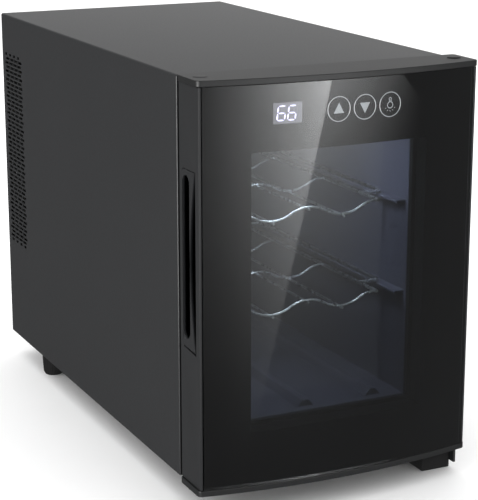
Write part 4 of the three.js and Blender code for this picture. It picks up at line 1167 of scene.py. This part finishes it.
class COOLER_OT_stage(bpy.types.Operator):
    """Set the floor, the lights and the camera"""

    bl_idname = "cooler.stage"
    bl_label = "Stage"

    def execute(self, context):
        looks = context.scene.cooler_stage
        context.scene.view_settings.view_transform = "Standard"
        self.floor(looks)
        self.world(context.scene, looks)
        self.lights()
        data = bpy.data.cameras.new("camera")
        data.lens = looks.lens
        camera = added("camera", data)
        camera.location = looks.camera
        camera.rotation_euler = (math.pi / 2 - looks.pitch, 0, -looks.yaw)
        context.scene.camera = camera
        return {"FINISHED"}

    def floor(self, looks):
        mesh = bmesh.new()
        bmesh.ops.create_grid(mesh, x_segments=1, y_segments=1, size=15)
        paper = grained("pale_backdrop_paper", looks.floor, 0.9, 4, 0.02, shift=0.01)
        floor = added("floor", mesh_data("floor", mesh, paper))
        floor.visible_glossy = False
        floor.visible_transmission = False

    def world(self, scene, looks):
        """Pale dome that gives even light, and a darker one that glossy surfaces mirror."""
        world = bpy.data.worlds.new("studio_dome")
        world.use_nodes = True
        tree = world.node_tree
        tree.nodes.clear()
        white = linear(0xFFFFFF)
        even, mirrored = (
            add_node(tree, "ShaderNodeBackground", {"Color": white, "Strength": strength})
            .outputs["Background"] for strength in (looks.even, looks.mirrored)
        )
        bounces = add_node(tree, "ShaderNodeLightPath").outputs["Glossy Depth"]
        mixed = add_node(tree, "ShaderNodeMixShader", {"Fac": bounces, 1: even, 2: mirrored})
        add_node(tree, "ShaderNodeOutputWorld", {"Surface": mixed.outputs["Shader"]})
        scene.world = world

    def lights(self):
        above = aim((-0.3, 0.4, 2.0), (0, 0, 0.3))
        softbox("overhead_softbox", above, width=1.6, height=1.6, watts=6)
        behind = aim((0.9, 2.0, 0.75), (0, 0, 0.36))
        softbox("rear_softbox", behind, width=2.4, height=1.0, watts=6.3)
        low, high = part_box("lamp_cover")
        lamp = Matrix.Translation((0, (low.y + high.y) / 2, low.z - MM))
        softbox(
            "cabin_lamp", lamp, high.x - low.x, high.y - low.y, watts=0.5, colour=(0.78, 0.86, 1.0)
        )
        beside = aim((-0.62, -0.47, 0.2), (-0.12, -0.24, 0.2))
        strip = softbox("edge_strip", beside, width=0.08, height=0.5, watts=5.0)
        strip.visible_diffuse = False
        self.reflector("main_reflector", -0.32, 0.0, watts=8.2, shares=(0.0, 1.0), power=1.2)
        self.reflector("side_reflector", 0.0, 0.33, watts=3.0, shares=(1.0, 0.0), power=2.2)

    def reflector(self, name, left, right, watts, shares, power):
        """Slanted strip in front that only glossy surfaces mirror; it fades across and downwards.

        Left and right are its edges, measured from the line where both reflectors meet, and
        shares are its strengths there.
        """
        height = 0.66
        slant = math.radians(26.3)
        meeting = Vector((0.097, -0.70, 0.060))
        fall = 3.5  # power by which it fades downwards
        up = Vector((math.sin(slant), 0, math.cos(slant)))
        across = Vector((math.cos(slant), 0, -math.sin(slant)))
        centre = meeting + across * (left + right) / 2
        turn = Matrix((across, up, Vector((0, -1, 0)))).transposed().to_4x4()
        lamp = softbox(name, Matrix.Translation(centre) @ turn, right - left, height, watts)
        lamp.visible_diffuse = False
        lamp.data.use_nodes = True
        tree = lamp.data.node_tree
        tree.nodes.clear()
        place = add_node(
            tree, "ShaderNodeSeparateXYZ",
            {"Vector": add_node(tree, "ShaderNodeNewGeometry").outputs["Parametric"]},
        )
        share = spread(tree, place.outputs["X"], *shares)
        sideways = worked_out(tree, "POWER", share, power)
        downwards = worked_out(tree, "POWER", place.outputs["Y"], fall)
        fade = worked_out(tree, "MULTIPLY", sideways, downwards)
        glow = add_node(tree, "ShaderNodeEmission", {"Strength": fade})
        add_node(tree, "ShaderNodeOutputLight", {"Surface": glow.outputs["Emission"]})


# ------------------------------------------------------------------ panel and registration

STEPS = (
    COOLER_OT_finishes,
    COOLER_OT_steel_wrap,
    COOLER_OT_cabinet_parts,
    COOLER_OT_feet,
    COOLER_OT_end_caps,
    COOLER_OT_door_parts,
    COOLER_OT_bent_glass,
    COOLER_OT_controls,
    COOLER_OT_gasket,
    COOLER_OT_shelves,
    COOLER_OT_stage,
)


class COOLER_PT_panel(bpy.types.Panel):
    """Sidebar panel that lists the steps"""

    bl_label = "Wine Cooler"
    bl_idname = "COOLER_PT_panel"
    bl_space_type = "VIEW_3D"
    bl_region_type = "UI"
    bl_category = "Wine Cooler"

    def draw(self, context):
        for name in GROUPS:
            box = self.layout.box()
            group = getattr(context.scene, name)
            for prop in group.__annotations__:
                box.prop(group, prop)
        for step in STEPS:
            self.layout.operator(step.bl_idname)


def register():
    for cls in (*GROUPS.values(), *STEPS, COOLER_PT_panel):
        bpy.utils.register_class(cls)
    for name, cls in GROUPS.items():
        setattr(bpy.types.Scene, name, PointerProperty(type=cls))


def unregister():
    for name in GROUPS:
        delattr(bpy.types.Scene, name)
    for cls in reversed((*GROUPS.values(), *STEPS, COOLER_PT_panel)):
        bpy.utils.unregister_class(cls)


def main():
    register()
    for step in STEPS:
        group, name = step.bl_idname.split(".")
        getattr(getattr(bpy.ops, group), name)()


if __name__ == "__main__":
    main()
